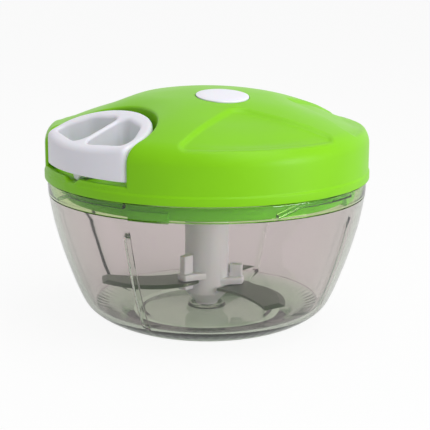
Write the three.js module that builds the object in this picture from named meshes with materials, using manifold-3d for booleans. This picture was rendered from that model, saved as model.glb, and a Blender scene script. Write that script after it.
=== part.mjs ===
// Pull-cord food chopper: a clear bowl, a twist-on lid with a cord-driven spool, and a
// three-bladed cutter that stands on a pin in the bowl. Millimetres, +Z up, the origin at the
// centre of the foot. Azimuths are degrees round Z from the front (-Y) towards the right (+X).
import * as THREE from 'three';
import { mergeVertices } from 'three/addons/utils/BufferGeometryUtils.js';
import Module from 'manifold-3d';

const wasm = await Module();
wasm.setup();

// Driving sizes of the whole product.
const LID_RADIUS = 65;
const BAND_HEIGHT = 54.6;
const SHOULDER_RISE = 6.81;
const HANDLE_AZIMUTH = -51.5;
const SECTORS = 5;
const FIT = 0.3;
const RUNNING_FIT = 0.5;
const OVERRUN = 2;
const MERGE_TOLERANCE = 1e-4;

// Facets round a turn, from large shells to small turned pieces.
const SHELL_FACETS = 40;
const HUB_FACETS = 24;
const PIN_FACETS = 12;

// Bowl: a clear moulding with a thick foot, four inner ribs and a bayonet under its rim.
const BAND_SETBACK = 1;
const FOOT_SHARE = 0.4734;
const FOOT_RECESS = 1.5;
const FOOT_RIM = 3.1;
const FLOOR_HEIGHT = 6.5;
const FLOOR_SHARE = 0.5625;
const BOWL_WALL = 2.2;
const BOWL_WALL_SHARES = [[0.546, 0.02], [0.63, 0.055], [0.71, 0.105], [0.772, 0.17], [0.818, 0.27],
  [0.869, 0.42], [0.922, 0.6], [0.969, 0.8]];
const WALL_STEPS = 10;
const CAVITY_STEPS = 9;
const BAND_TO_SHOULDER = 6;
const SHOULDER_SETBACK = 0.7;
const NECK_SETBACK = 2.7;
const NECK_WALL = 1.5;
const NECK_RISE = 1.5;
const NECK_ROOT = 0.6;
const BOWL_RIB_WIDTH = 2.4;
const BOWL_RIB_DEPTH = 1.2;
const BOWL_RIB_AZIMUTH = -28;
const BOWL_RIBS = 4;
const BOWL_RIB_TOP_SHARE = 0.916;
const PIVOT_RING_INNER = 6.2;
const PIVOT_RING_WALL = 1.4;
const PIVOT_RING_RISE = 1;
const PIN_RADIUS = 2.4;
const PIN_SEAT = 2.9;
const PIN_RISE = 18.5;
const PIN_CHAMFER = 0.6;

// Bayonet: ramps on the bowl and lugs on the lid, turned clear of each other at rest.
const BAYONETS = 4;
const RAMP_AZIMUTH = 34;
const RAMP_SWEEP = 27;
const RAMP_LEAD_SWEEP = 9;
const RAMP_RISE = 3.6;
const RAMP_THICKNESS = 1.4;
const RAMP_LEAD_DROP = 3;
const RAMP_STEPS = 5;
const LUG_SWEEP = 15;
const LUG_START = 62;
const LUG_DROP = 0.8;
const LUG_THICKNESS = 3.8;
const LUG_STEPS = 3;

// Lid cover: a domed shell with sunk panels and a U-shaped pocket for the handle.
const LID_WALL = 2.4;
const SKIRT_WALL = 2.1;
const SHOULDER_FILLET = 9;
const DOME_RADIUS = 132;
const DOME_STEPS = 5;
const DOME_INSIDE_STEPS = 4;
const BEAD_PROUD = 0.4;
const BEAD_HEIGHT = 3;
const BEAD_SLOPE = 0.8;
const PANEL_DEPTH = 1.1;
const PANEL_APEX = 30.5;
const PANEL_SETBACK = 2.6;
const PANEL_HALF_SWEEP = 30;
const PANEL_APEX_ROUND = 6;
const PANEL_CORNER_ROUND = 4;
const PANEL_ARC_STEPS = 6;

// Pocket and lip below the handle.
const POCKET_SIDE_GAP = 1;
const POCKET_END_GAP = 2.2;
const POCKET_WALL = 1.8;
const LIP_RISE = 1.2;
const LIP_THICKNESS = 1.8;

// Pull handle: a D-shaped grip with two finger wells and a bar between them.
const HANDLE_SETBACK = 0.6;
const HANDLE_HALF_WIDTH = 26.5;
const HANDLE_LENGTH = 28.9;
const HANDLE_END_DEPTH = 17;
const HANDLE_LIFT = 1.4;
const HANDLE_TOP_DROP = 1.1;
const HANDLE_CORNER = 2.5;
const HANDLE_SIDE_WALL = 3.6;
const HANDLE_FACE_WALL = 3.4;
const HANDLE_END_WALL = 4.8;
const HANDLE_BAR = 2.6;
const WELL_CORNER = 3.5;
const WELL_END_SHARES = [0.31, 0.7];

// Cord, its guide in the pocket wall and its boss under the handle.
const CORD_RADIUS = 0.7;
const CORD_RISE = 4.8;
const CORD_BOSS_RADIUS = 2.4;
const CORD_BOSS_BACK_SETBACK = 1.5;
const CORD_BOSS_FACE_SETBACK = 1.9;
const CORD_BORE_RADIUS = 1.2;
const KNOT_RADIUS = 1.6;
const KNOT_SETBACK = 5.4;
const EYELET_BORE = 1.1;
const EYELET_BARREL = 1.8;
const EYELET_FLANGE = 2.5;
const EYELET_FLANGE_THICKNESS = 0.8;

// Screw bosses, arbor post and the screws that close the lid.
const SCREWS = 4;
const SCREW_SETBACK = 13.2;
const SCREW_BOSS_RADIUS = 3.6;
const SCREW_RADIUS = 1.2;
const SCREW_LENGTH = 9;
const SCREW_HEAD_RADIUS = 3;
const SCREW_HEAD_HEIGHT = 1.6;
const ARBOR_RADIUS = 5.6;
const JOURNAL_RADIUS = 4;
const ARBOR_SLOT = 1.4;
const ARBOR_SLOT_DEPTH = 2.6;
const RETAINER_RADIUS = 1.5;
const RETAINER_LENGTH = 12;
const RETAINER_HEAD_RADIUS = 3.4;
const RETAINER_HEAD_HEIGHT = 1.7;
const WASHER_RADIUS = 7.2;
const WASHER_THICKNESS = 0.6;

// Lid base: the closing plate with the ring that enters the bowl, and its seal.
const LID_GAP = 0.4;
const SEAL_ROOM = 2.3;
const BASE_PLATE_THICKNESS = 1.4;
const INSERT_GAP = 1.6;
const INSERT_WALL = 2.6;
const INSERT_DEPTH = 5.8;
const GROOVE_DEPTH = 1.2;
const FLANGE_THICKNESS = 1.3;
const COLLAR_WALL = 1.7;
const COLLAR_DEPTH = 3.2;
const WINDOW_AZIMUTH = 40;
const WINDOW_SWEEP = 12;
const WINDOW_DEPTH = 0.6;
const WINDOW_RISE = 3.3;
const WINDOW_HEIGHT = 2.2;

// White cap set in the dome in front of its crown.
const CAP_RADIUS = 10.4;
const CAP_OFFSET = 17;
const CAP_SEAT_DEPTH = 1;
const CAP_EDGE = 0.4;
const CAP_CROWN = 0.9;
const CAP_PEG_RADIUS = 2;
const CAP_PEG_LENGTH = 3.6;

// Spool, its bush, the wound cord and the recoil spring in its cup.
const SPOOL_FLANGE_RADIUS = 24;
const SPOOL_FLANGE = 1.3;
const DRUM_RADIUS = 15;
const DRUM_WIDTH = 8.7;
const CUP_HEIGHT = 8.1;
const CUP_WALL = 1.4;
const SOCKET_FLATS = 13.2;
const SOCKET_DEPTH = 5.5;
const SOCKET_CAVITY_RADIUS = 8;
const WEB_THICKNESS = 1.6;
const BUSH_WALL = 1.7;
const BUSH_FLANGE_RADIUS = 7.4;
const BUSH_FLANGE_THICKNESS = 0.7;
const CORD_TURNS = 3.5;
const CORD_TURN_STEPS = 18;
const SPRING_STRIP = 0.6;
const SPRING_HEIGHT = 6;
const SPRING_TURNS = 6.5;
const SPRING_TURN_STEPS = 12;
const COVER_THICKNESS = 1.2;

// Cutter: a white shaft with a hexagon drive head, three arms with posts, three sickle blades and pegs.
const SHAFT_RADIUS = 9;
const SHAFT_LIFT = 0.8;
const SHAFT_HEAD_GAP = 0.6;
const SHAFT_TAPER_RISE = 5.2;
const SHAFT_FOOT_RADIUS = 4.6;
const SHAFT_FOOT_HEIGHT = 0.8;
const SHAFT_NECK_STEP = 0.4;
const SHAFT_NECK_LENGTH = 8.1;
const DRIVE_FLATS = 12.4;
const DRIVE_HEAD_GAP = 0.4;
const ARMS = 3;
const ARM_AZIMUTH = -41;
const ARM_LIFT = 12.7;
const ARM_LEVEL_STEP = 3;
const ARM_REACH = 6.4;
const ARM_ROOT_WIDTH = 12.6;
const ARM_TIP_WIDTH = 4.4;
const ARM_THICKNESS = 2.8;
const ARM_CORNER = 0.8;
const POST_GAP = 0.8;
const POST_LENGTH = 5.1;
const POST_WIDTH = 2.9;
const POST_RISES = [7.3, 5.2, 5.2];
const POST_SLOPE = 0.3;
const PEG_START_GAP = 2.3;
const PEG_LENGTH = 3.2;
const PEG_WIDTH = 2.2;
const PEG_DEPTH = 1.6;
const PEG_HEAD_MARGIN = 0.9;
const PEG_HEAD_HEIGHT = 2;
const BLADE_THICKNESS = 1;
const BLADE_TANG_WIDTH = 8.4;
const BLADE_HEEL_GAP = 6.5;
const BLADE_REACH_SHARE = 0.68;
const BLADE_TIP_AZIMUTHS = [-35, -48];
const BLADE_FRONT_SHARES = [0.8, -0.02];
const BLADE_BACK_SHARES = [0.45, -0.3];
const BLADE_ROOT_SHARES = [0.67, -1.05];
const BLADE_CURVE_STEPS = 8;

const WHITE = { color: 0xe9e9f2, roughness: 0.35, metalness: 0 };
const LIME = { color: 0x86d016, roughness: 0.3, metalness: 0 };
const CLEAR = { color: 0xd2c8c6, roughness: 0.08, metalness: 0 };
const STEEL = { color: 0xb9bcc0, roughness: 0.25, metalness: 1 };
const SILICONE = { color: 0xe6e9e2, roughness: 0.6, metalness: 0 };
const CORD = { color: 0xf0f0ec, roughness: 0.9, metalness: 0 };
const NYLON = { color: 0x3c3f42, roughness: 0.5, metalness: 0 };

// Heights and radii that follow from the driving sizes, from the bowl's rim upwards.
const bandRadius = LID_RADIUS - BAND_SETBACK;
const footRadius = FOOT_SHARE * bandRadius;
const floorRadius = FLOOR_SHARE * bandRadius;
const shoulderRadius = LID_RADIUS - SHOULDER_SETBACK;
const shoulderHeight = BAND_HEIGHT + BAND_TO_SHOULDER;
const neckRadius = LID_RADIUS - NECK_SETBACK;
const neckInner = neckRadius - NECK_WALL;
const neckTop = shoulderHeight + NECK_RISE;
const neckRoot = shoulderHeight - NECK_ROOT;
const bandInside = shoulderRadius - BOWL_WALL;
const ribTop = BOWL_RIB_TOP_SHARE * BAND_HEIGHT;
const skirtBottom = shoulderHeight + LID_GAP;
const flangeBottom = neckTop + LID_GAP;
const flangeTop = flangeBottom + FLANGE_THICKNESS;
const flangeRadius = LID_RADIUS - SKIRT_WALL - FIT;
const plateBottom = flangeBottom - SEAL_ROOM;
const platesTop = plateBottom + BASE_PLATE_THICKNESS;
const insertRadius = neckInner - INSERT_GAP;
const insertBottom = plateBottom - INSERT_DEPTH;
const grooveFloor = insertRadius - GROOVE_DEPTH;
const screwCircle = insertRadius - SCREW_SETBACK;
const screwAzimuth = HANDLE_AZIMUTH + 180 / SCREWS;

// Spool levels, from its lower flange to the spring cup's rim.
const spoolBottom = platesTop + FIT;
const drumBottom = spoolBottom + SPOOL_FLANGE;
const drumTop = drumBottom + DRUM_WIDTH;
const cupFloor = drumTop + SPOOL_FLANGE;
const cupTop = cupFloor + CUP_HEIGHT;
const webBottom = cupFloor - WEB_THICKNESS;
const bushRadius = JOURNAL_RADIUS + FIT + BUSH_WALL;
const bushTop = cupFloor + FIT + BUSH_FLANGE_THICKNESS;
const arborBottom = bushTop + FIT;
const springBottom = arborBottom + FIT;

// The cord's line, and the pocket and handle built round it.
const cordHeight = drumBottom + CORD_RISE;
const pocketFloor = cordHeight - CORD_BOSS_RADIUS;
const lipTop = pocketFloor + LIP_RISE;
const handleBottom = lipTop + HANDLE_LIFT;
const handleRadius = LID_RADIUS - HANDLE_SETBACK;
const handleInnerEnd = handleRadius - HANDLE_LENGTH;
const pocketWallFace = handleInnerEnd - POCKET_END_GAP;
const knotPlace = handleRadius - KNOT_SETBACK;

// The dome: a shallow sphere that runs into the skirt through a round shoulder.
const filletCentreRadius = LID_RADIUS - SHOULDER_FILLET;
const filletCentreHeight = handleBottom + SHOULDER_RISE;
const domeCentre = filletCentreHeight
  - Math.sqrt((DOME_RADIUS - SHOULDER_FILLET) ** 2 - filletCentreRadius ** 2);
const shoulderAngle = Math.atan2(filletCentreHeight - domeCentre, filletCentreRadius);
const apexHeight = domeCentre + DOME_RADIUS;

// Cutter levels, from the bowl's floor up to the drive head.
const shaftBottom = FLOOR_HEIGHT + SHAFT_LIFT;
const shaftTop = plateBottom - SHAFT_HEAD_GAP;
const driveTop = spoolBottom + SOCKET_DEPTH - DRIVE_HEAD_GAP;
const pinTop = FLOOR_HEIGHT + PIN_RISE;

const chopper = new THREE.Group();

// Plain helpers for solids.
function solidOf(geometry) {
  geometry.deleteAttribute('normal');
  geometry.deleteAttribute('uv');
  const merged = mergeVertices(geometry, MERGE_TOLERANCE);
  const corners = merged.index.array;
  const triangles = [];
  for (let i = 0; i < corners.length; i += 3) {
    const [a, b, c] = [corners[i], corners[i + 1], corners[i + 2]];
    if (a !== b && b !== c && c !== a) triangles.push(a, b, c);
  }
  const mesh = new wasm.Mesh({
    numProp: 3,
    vertProperties: new Float32Array(merged.attributes.position.array),
    triVerts: new Uint32Array(triangles),
  });
  return new wasm.Manifold(mesh);
}

function geometryOf(solid) {
  const mesh = solid.getMesh();
  const geometry = new THREE.BufferGeometry();
  geometry.setAttribute('position', new THREE.BufferAttribute(Float32Array.from(mesh.vertProperties), 3));
  geometry.setIndex(new THREE.BufferAttribute(Uint32Array.from(mesh.triVerts), 1));
  geometry.computeVertexNormals();
  return geometry;
}

function addPiece(name, solid, look) {
  const piece = new THREE.Mesh(geometryOf(solid), new THREE.MeshStandardMaterial(look));
  piece.name = name;
  chopper.add(piece);
}

const join = (solids) => solids.reduce((whole, solid) => whole.add(solid));

// A solid of revolution from (radius, height) pairs that run counter-clockwise.
function revolve(profile, facets) {
  const points = profile.map(([radius, height]) => new THREE.Vector2(radius, height));
  return solidOf(new THREE.LatheGeometry(points, facets).rotateX(Math.PI / 2));
}

const revolveRing = (profile, facets) => revolve([...profile, profile[0]], facets);

const turnedPin = (radius, bottom, top, facets = PIN_FACETS) =>
  revolve([[0, bottom], [radius, bottom], [radius, top], [0, top]], facets);

// An upright prism; points of the outline that fall on each other are taken once.
function prism(shape, bottom, top, steps = 8) {
  const points = shape.getPoints(steps).filter((point, i, all) =>
    point.distanceTo(all[(i + 1) % all.length]) > 2 * MERGE_TOLERANCE);
  const depth = top - bottom;
  const geometry = new THREE.ExtrudeGeometry(new THREE.Shape(points), { depth, bevelEnabled: false });
  return solidOf(geometry.translate(0, 0, bottom));
}

// An outline whose corners are rounded by lengths along their edges, up to half an edge.
function roundedOutline(corners, rounds) {
  const shape = new THREE.Shape();
  corners.forEach((corner, i) => {
    const at = new THREE.Vector2(...corner);
    const before = new THREE.Vector2(...corners[(i + corners.length - 1) % corners.length]).sub(at);
    const after = new THREE.Vector2(...corners[(i + 1) % corners.length]).sub(at);
    const round = Math.min(rounds[i], before.length() / 2, after.length() / 2);
    const entry = at.clone().add(before.setLength(round));
    const leave = at.clone().add(after.setLength(round));
    if (i === 0) shape.moveTo(entry.x, entry.y);
    else shape.lineTo(entry.x, entry.y);
    if (round > 0) shape.quadraticCurveTo(at.x, at.y, leave.x, leave.y);
  });
  return shape;
}

const hexagon = (flats) => {
  const corner = flats / Math.sqrt(3);
  const corners = [];
  for (let i = 0; i < 6; i += 1) {
    corners.push([corner * Math.cos(i * Math.PI / 3), corner * Math.sin(i * Math.PI / 3)]);
  }
  return roundedOutline(corners, corners.map(() => 0));
};

// A bar through sections of four points each, given in turn round the section.
function barThrough(sections) {
  const index = [];
  for (let i = 0; i < sections.length - 1; i += 1) {
    for (let side = 0; side < 4; side += 1) {
      const here = 4 * i + side;
      const next = 4 * i + (side + 1) % 4;
      index.push(here, here + 4, next + 4, here, next + 4, next);
    }
  }
  const last = 4 * (sections.length - 1);
  index.push(0, 1, 2, 0, 2, 3, last, last + 2, last + 1, last, last + 3, last + 2);
  const geometry = new THREE.BufferGeometry();
  geometry.setAttribute('position', new THREE.BufferAttribute(new Float32Array(sections.flat(2)), 3));
  geometry.setIndex(index);
  return solidOf(geometry);
}

// A bar bent round the axis through stations of [azimuth, height of its underside].
function arcBar(inner, outer, stations, thickness, steps) {
  const posts = stations.slice(1).flatMap(([azimuth, bottom], i) => Array.from({ length: steps }, (_, k) => [
    THREE.MathUtils.lerp(stations[i][0], azimuth, k / steps),
    THREE.MathUtils.lerp(stations[i][1], bottom, k / steps)]));
  posts.push(stations[stations.length - 1]);
  return barThrough(posts.map(([azimuth, bottom]) => {
    const angle = THREE.MathUtils.degToRad(azimuth);
    const at = (radius, height) => [radius * Math.sin(angle), -radius * Math.cos(angle), height];
    const top = bottom + thickness;
    return [at(inner, bottom), at(outer, bottom), at(outer, top), at(inner, top)];
  }));
}

// Turns a solid built with +X outwards to an azimuth.
const towards = (solid, azimuth) => solid.rotate([0, 0, azimuth - 90]);

// A pin along +X at a height above the foot.
const radialPin = (radius, start, end, height, facets = PIN_FACETS) =>
  turnedPin(radius, start, end, facets).rotate([0, 90, 0]).translate([0, 0, height]);

const azimuths = (first, count) => Array.from({ length: count }, (_, i) => first + i * 360 / count);

// (radius, height) pairs from the skirt's top to the crown, drawn in by an inset.
function domeArc(inset, steps) {
  const points = [];
  for (let i = 0; i <= steps; i += 1) {
    const angle = shoulderAngle * i / steps;
    const radius = SHOULDER_FILLET - inset;
    points.push([filletCentreRadius + radius * Math.cos(angle),
      filletCentreHeight + radius * Math.sin(angle)]);
  }
  for (let i = 1; i < steps; i += 1) {
    const angle = THREE.MathUtils.lerp(shoulderAngle, Math.PI / 2, i / steps);
    points.push([(DOME_RADIUS - inset) * Math.cos(angle),
      domeCentre + (DOME_RADIUS - inset) * Math.sin(angle)]);
  }
  return [...points, [0, apexHeight - inset]];
}

// Everything under the dome, sunk by a drop or drawn in by an inset.
const underDome = (bottom, inset, drop = 0, steps = DOME_STEPS) => {
  const arc = domeArc(inset, steps).map(([radius, height]) => [radius, height - drop]);
  return revolve([[0, bottom], [arc[0][0], bottom], ...arc], SHELL_FACETS);
};

const domeSlopeAt = (radius) => Math.asin(radius / DOME_RADIUS);
const domeHeightAt = (radius) => domeCentre + DOME_RADIUS * Math.cos(domeSlopeAt(radius));

// Bowl outline: the foot, then one smooth curve up to the band.
function wallCurve(inset, steps) {
  const through = [[footRadius, 0], ...BOWL_WALL_SHARES.map(([r, z]) => [r * bandRadius, z * BAND_HEIGHT]),
    [bandRadius, BAND_HEIGHT]];
  const curve = new THREE.SplineCurve(through.map(([radius, height]) => new THREE.Vector2(radius, height)));
  return curve.getSpacedPoints(steps).map((point, i) => {
    const tangent = curve.getTangentAt(i / steps);
    return [point.x - inset * tangent.y, point.y + inset * tangent.x];
  });
}

function cavity(inset, top) {
  const wall = wallCurve(BOWL_WALL + inset, CAVITY_STEPS).filter(([radius, height]) =>
    height > FLOOR_HEIGHT + inset + BOWL_WALL && height < BAND_HEIGHT - BOWL_WALL);
  const bandInner = shoulderRadius - BOWL_WALL - inset;
  return revolve([[0, FLOOR_HEIGHT + inset], [floorRadius - inset, FLOOR_HEIGHT + inset], ...wall,
    [bandInner - FIT, BAND_HEIGHT], [bandInner, top], [0, top]], SHELL_FACETS);
}

function makeBowl() {
  const outside = revolve([[0, FOOT_RECESS], [footRadius - FOOT_RIM - FOOT_RECESS, FOOT_RECESS],
    [footRadius - FOOT_RIM, 0], ...wallCurve(0, WALL_STEPS), [shoulderRadius, shoulderHeight],
    [neckRadius, shoulderHeight], [neckRadius, neckTop], [0, neckTop]], SHELL_FACETS);
  const neckHole = turnedPin(neckInner, BAND_HEIGHT, neckTop + OVERRUN, SHELL_FACETS);
  let bowl = outside.subtract(cavity(0, neckRoot)).subtract(neckHole);
  const ribRoom = cavity(-FIT, ribTop).subtract(cavity(BOWL_RIB_DEPTH, neckTop));
  const slab = prism(roundedOutline([[PIVOT_RING_INNER + floorRadius, -BOWL_RIB_WIDTH / 2],
    [LID_RADIUS, -BOWL_RIB_WIDTH / 2], [LID_RADIUS, BOWL_RIB_WIDTH / 2],
    [PIVOT_RING_INNER + floorRadius, BOWL_RIB_WIDTH / 2]], [0, 0, 0, 0]), 0, BAND_HEIGHT);
  const rib = slab.intersect(ribRoom);
  for (const azimuth of azimuths(BOWL_RIB_AZIMUTH, BOWL_RIBS)) bowl = bowl.add(towards(rib, azimuth));
  bowl = bowl.add(revolveRing([[PIVOT_RING_INNER, FLOOR_HEIGHT - FIT],
    [PIVOT_RING_INNER + PIVOT_RING_WALL, FLOOR_HEIGHT - FIT],
    [PIVOT_RING_INNER + PIVOT_RING_WALL, FLOOR_HEIGHT + PIVOT_RING_RISE],
    [PIVOT_RING_INNER, FLOOR_HEIGHT + PIVOT_RING_RISE]], HUB_FACETS));
  bowl = bowl.subtract(turnedPin(PIN_RADIUS + FIT, PIN_SEAT - FIT, FLOOR_HEIGHT + OVERRUN));
  const rampInner = insertRadius + RUNNING_FIT;
  const rampOuter = bandInside + BOWL_WALL / 2;
  const rampBottom = insertBottom + RAMP_RISE;
  const leadBottom = rampBottom - RAMP_LEAD_DROP;
  for (const azimuth of azimuths(RAMP_AZIMUTH, BAYONETS)) {
    const stations = [[azimuth - RAMP_LEAD_SWEEP, leadBottom], [azimuth, rampBottom],
      [azimuth + RAMP_SWEEP, rampBottom]];
    bowl = bowl.add(arcBar(rampInner, rampOuter, stations, RAMP_THICKNESS, RAMP_STEPS));
  }
  return bowl;
}

addPiece('bowl', makeBowl(), CLEAR);

addPiece('pivot_pin', revolve([[0, PIN_SEAT], [PIN_RADIUS, PIN_SEAT], [PIN_RADIUS, pinTop - PIN_CHAMFER],
  [PIN_RADIUS - PIN_CHAMFER, pinTop], [0, pinTop]], PIN_FACETS), STEEL);

// Lid base: collar, plate, insert ring with its seal groove, and the flange on the bowl's rim.
const collarInner = SHAFT_RADIUS + RUNNING_FIT;

function makeLidBase() {
  const collarBottom = plateBottom - COLLAR_DEPTH;
  let base = revolveRing([[collarInner, collarBottom], [collarInner + COLLAR_WALL, collarBottom],
    [collarInner + COLLAR_WALL, plateBottom], [insertRadius - INSERT_WALL, plateBottom],
    [insertRadius - INSERT_WALL, insertBottom], [insertRadius, insertBottom],
    [insertRadius, plateBottom], [grooveFloor, plateBottom], [grooveFloor, flangeBottom],
    [flangeRadius, flangeBottom], [flangeRadius, flangeTop],
    [insertRadius - INSERT_WALL - FLANGE_THICKNESS, flangeTop],
    [insertRadius - INSERT_WALL - FLANGE_THICKNESS, platesTop], [collarInner, platesTop]], SHELL_FACETS);
  const lugBottom = insertBottom - LUG_DROP;
  for (const azimuth of azimuths(LUG_START, BAYONETS)) {
    base = base.add(arcBar(insertRadius - GROOVE_DEPTH, neckInner - RUNNING_FIT,
      [[azimuth, lugBottom], [azimuth + LUG_SWEEP, lugBottom]], LUG_THICKNESS, LUG_STEPS));
  }
  const windowBottom = insertBottom + WINDOW_RISE;
  const windowEnds = [WINDOW_AZIMUTH, WINDOW_AZIMUTH + WINDOW_SWEEP]
    .map((azimuth) => [azimuth, windowBottom]);
  base = base.subtract(arcBar(insertRadius - WINDOW_DEPTH, insertRadius + OVERRUN,
    windowEnds, WINDOW_HEIGHT, LUG_STEPS));
  const hole = turnedPin(SCREW_RADIUS + RUNNING_FIT, plateBottom - OVERRUN, platesTop + OVERRUN)
    .translate([screwCircle, 0, 0]);
  for (const azimuth of azimuths(screwAzimuth, SCREWS)) base = base.subtract(towards(hole, azimuth));
  return base;
}

// A flat gasket with a thin lip, seated in the insert ring's groove.
function makeSeal() {
  const inner = grooveFloor + FIT;
  const outer = neckInner - FIT;
  const bottom = plateBottom + FIT;
  const top = flangeBottom - FIT;
  return revolveRing([[inner, bottom], [outer - FIT, bottom], [outer, (bottom + top) / 2], [outer - FIT, top],
    [inner, top]], SHELL_FACETS);
}

addPiece('seal_ring', makeSeal(), SILICONE);

// Pocket plan: parallel sides with a half-oval end, open through the skirt.
function pocketPlan(grow) {
  const half = HANDLE_HALF_WIDTH + POCKET_SIDE_GAP + grow;
  const depth = HANDLE_END_DEPTH + POCKET_END_GAP + grow;
  const centre = handleInnerEnd + HANDLE_END_DEPTH;
  const shape = new THREE.Shape();
  shape.moveTo(LID_RADIUS + OVERRUN, -half);
  shape.lineTo(LID_RADIUS + OVERRUN, half);
  shape.lineTo(centre, half);
  shape.absellipse(centre, 0, depth, half, Math.PI / 2, 3 * Math.PI / 2, false, 0);
  return shape;
}

function panelPlan() {
  const half = THREE.MathUtils.degToRad(PANEL_HALF_SWEEP);
  const panelRadius = LID_RADIUS - PANEL_SETBACK;
  const corners = [[PANEL_APEX, 0]];
  const rounds = [PANEL_APEX_ROUND];
  for (let i = 0; i <= PANEL_ARC_STEPS; i += 1) {
    const angle = THREE.MathUtils.lerp(-half, half, i / PANEL_ARC_STEPS);
    corners.push([panelRadius * Math.cos(angle), panelRadius * Math.sin(angle)]);
    rounds.push(i === 0 || i === PANEL_ARC_STEPS ? PANEL_CORNER_ROUND : 0);
  }
  return roundedOutline(corners, rounds);
}

// Places a solid built round +Z on the dome at the cap's seat.
function onCapSeat(solid) {
  const tilt = THREE.MathUtils.radToDeg(domeSlopeAt(CAP_OFFSET));
  const seated = solid.rotate([0, tilt, 0]).translate([CAP_OFFSET, 0, domeHeightAt(CAP_OFFSET)]);
  return towards(seated, HANDLE_AZIMUTH + 360 / SECTORS);
}

function makeLidCover() {
  const bead = LID_RADIUS + BEAD_PROUD;
  const filled = revolve([[0, skirtBottom], [bead, skirtBottom], [bead, skirtBottom + BEAD_HEIGHT],
    [LID_RADIUS, skirtBottom + BEAD_HEIGHT + BEAD_SLOPE], ...domeArc(0, DOME_STEPS)], SHELL_FACETS);
  const skirtHole = turnedPin(LID_RADIUS - SKIRT_WALL, skirtBottom - OVERRUN, flangeTop + OVERRUN,
    SHELL_FACETS);
  const hollow = underDome(skirtBottom - OVERRUN, LID_WALL, 0, DOME_INSIDE_STEPS);
  const shell = filled.subtract(hollow).subtract(skirtHole);
  const inside = underDome(skirtBottom, LID_WALL / 2, 0, DOME_INSIDE_STEPS);
  const parts = [shell, towards(prism(pocketPlan(POCKET_WALL), flangeTop + FIT, apexHeight), HANDLE_AZIMUTH)
    .intersect(filled)];
  parts.push(turnedPin(ARBOR_RADIUS, arborBottom, apexHeight - LID_WALL / 2, HUB_FACETS));
  parts.push(turnedPin(JOURNAL_RADIUS, webBottom, arborBottom + OVERRUN, HUB_FACETS));
  const boss = turnedPin(SCREW_BOSS_RADIUS, platesTop + FIT, apexHeight).translate([screwCircle, 0, 0]);
  const pilot = turnedPin(SCREW_RADIUS + FIT, platesTop - OVERRUN, platesTop + SCREW_LENGTH)
    .translate([screwCircle, 0, 0]);
  for (const azimuth of azimuths(screwAzimuth, SCREWS)) parts.push(towards(boss, azimuth).intersect(inside));
  let lid = join(parts);
  for (const azimuth of azimuths(screwAzimuth, SCREWS)) lid = lid.subtract(towards(pilot, azimuth));
  lid = lid.subtract(turnedPin(RETAINER_RADIUS + FIT, webBottom - OVERRUN,
    webBottom + RETAINER_LENGTH + OVERRUN));
  const slot = prism(roundedOutline([[ARBOR_RADIUS - ARBOR_SLOT_DEPTH, -ARBOR_SLOT / 2],
    [ARBOR_RADIUS + OVERRUN, -ARBOR_SLOT / 2], [ARBOR_RADIUS + OVERRUN, ARBOR_SLOT / 2],
    [ARBOR_RADIUS - ARBOR_SLOT_DEPTH, ARBOR_SLOT / 2]], [0, 0, 0, 0]), arborBottom - OVERRUN,
    springBottom + SPRING_HEIGHT + FIT);
  lid = lid.subtract(slot);
  const plan = pocketPlan(0);
  const pocket = join([
    prism(plan, lipTop, apexHeight + OVERRUN),
    prism(plan, pocketFloor, lipTop + OVERRUN).intersect(turnedPin(LID_RADIUS - LIP_THICKNESS, skirtBottom,
      apexHeight, SHELL_FACETS)),
    radialPin(CORD_BOSS_RADIUS + RUNNING_FIT, pocketWallFace, LID_RADIUS + OVERRUN, cordHeight),
    radialPin(EYELET_BARREL + FIT, SPOOL_FLANGE_RADIUS, handleInnerEnd, cordHeight),
  ]);
  lid = lid.subtract(towards(pocket, HANDLE_AZIMUTH));
  const panel = prism(panelPlan(), skirtBottom, apexHeight + OVERRUN)
    .subtract(underDome(skirtBottom - OVERRUN, 0, PANEL_DEPTH));
  azimuths(HANDLE_AZIMUTH, SECTORS).slice(1).forEach((azimuth) => {
    lid = lid.subtract(towards(panel, azimuth));
  });
  lid = lid.subtract(onCapSeat(turnedPin(CAP_RADIUS + FIT, -CAP_SEAT_DEPTH, OVERRUN, HUB_FACETS)));
  return lid.subtract(onCapSeat(turnedPin(CAP_PEG_RADIUS + FIT, -CAP_PEG_LENGTH - LID_WALL, 0)));
}

addPiece('lid_cover', makeLidCover(), LIME);
addPiece('lid_base', makeLidBase(), LIME);

const capBottom = FIT - CAP_SEAT_DEPTH;
const pegBottom = capBottom - CAP_PEG_LENGTH;
addPiece('top_cap', onCapSeat(revolve([[0, pegBottom], [CAP_PEG_RADIUS, pegBottom],
  [CAP_PEG_RADIUS, capBottom], [CAP_RADIUS, capBottom], [CAP_RADIUS, CAP_EDGE],
  [CAP_RADIUS - CAP_CROWN, CAP_CROWN], [0, CAP_CROWN]], HUB_FACETS)), WHITE);

// Panhead screws that hold the base to the cover's bosses.
function makeScrew(radius, length, headRadius, headHeight, seat) {
  const chamfer = headHeight / 2;
  return revolve([[0, seat - headHeight], [headRadius - chamfer, seat - headHeight],
    [headRadius, seat - chamfer], [headRadius, seat], [radius, seat],
    [radius, seat + length - radius], [0, seat + length]], PIN_FACETS);
}

azimuths(screwAzimuth, SCREWS).forEach((azimuth, i) => {
  const screw = makeScrew(SCREW_RADIUS, SCREW_LENGTH, SCREW_HEAD_RADIUS, SCREW_HEAD_HEIGHT,
    plateBottom - FIT);
  addPiece(`lid_screw_${i + 1}`, towards(screw.translate([screwCircle, 0, 0]), azimuth), STEEL);
});

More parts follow.
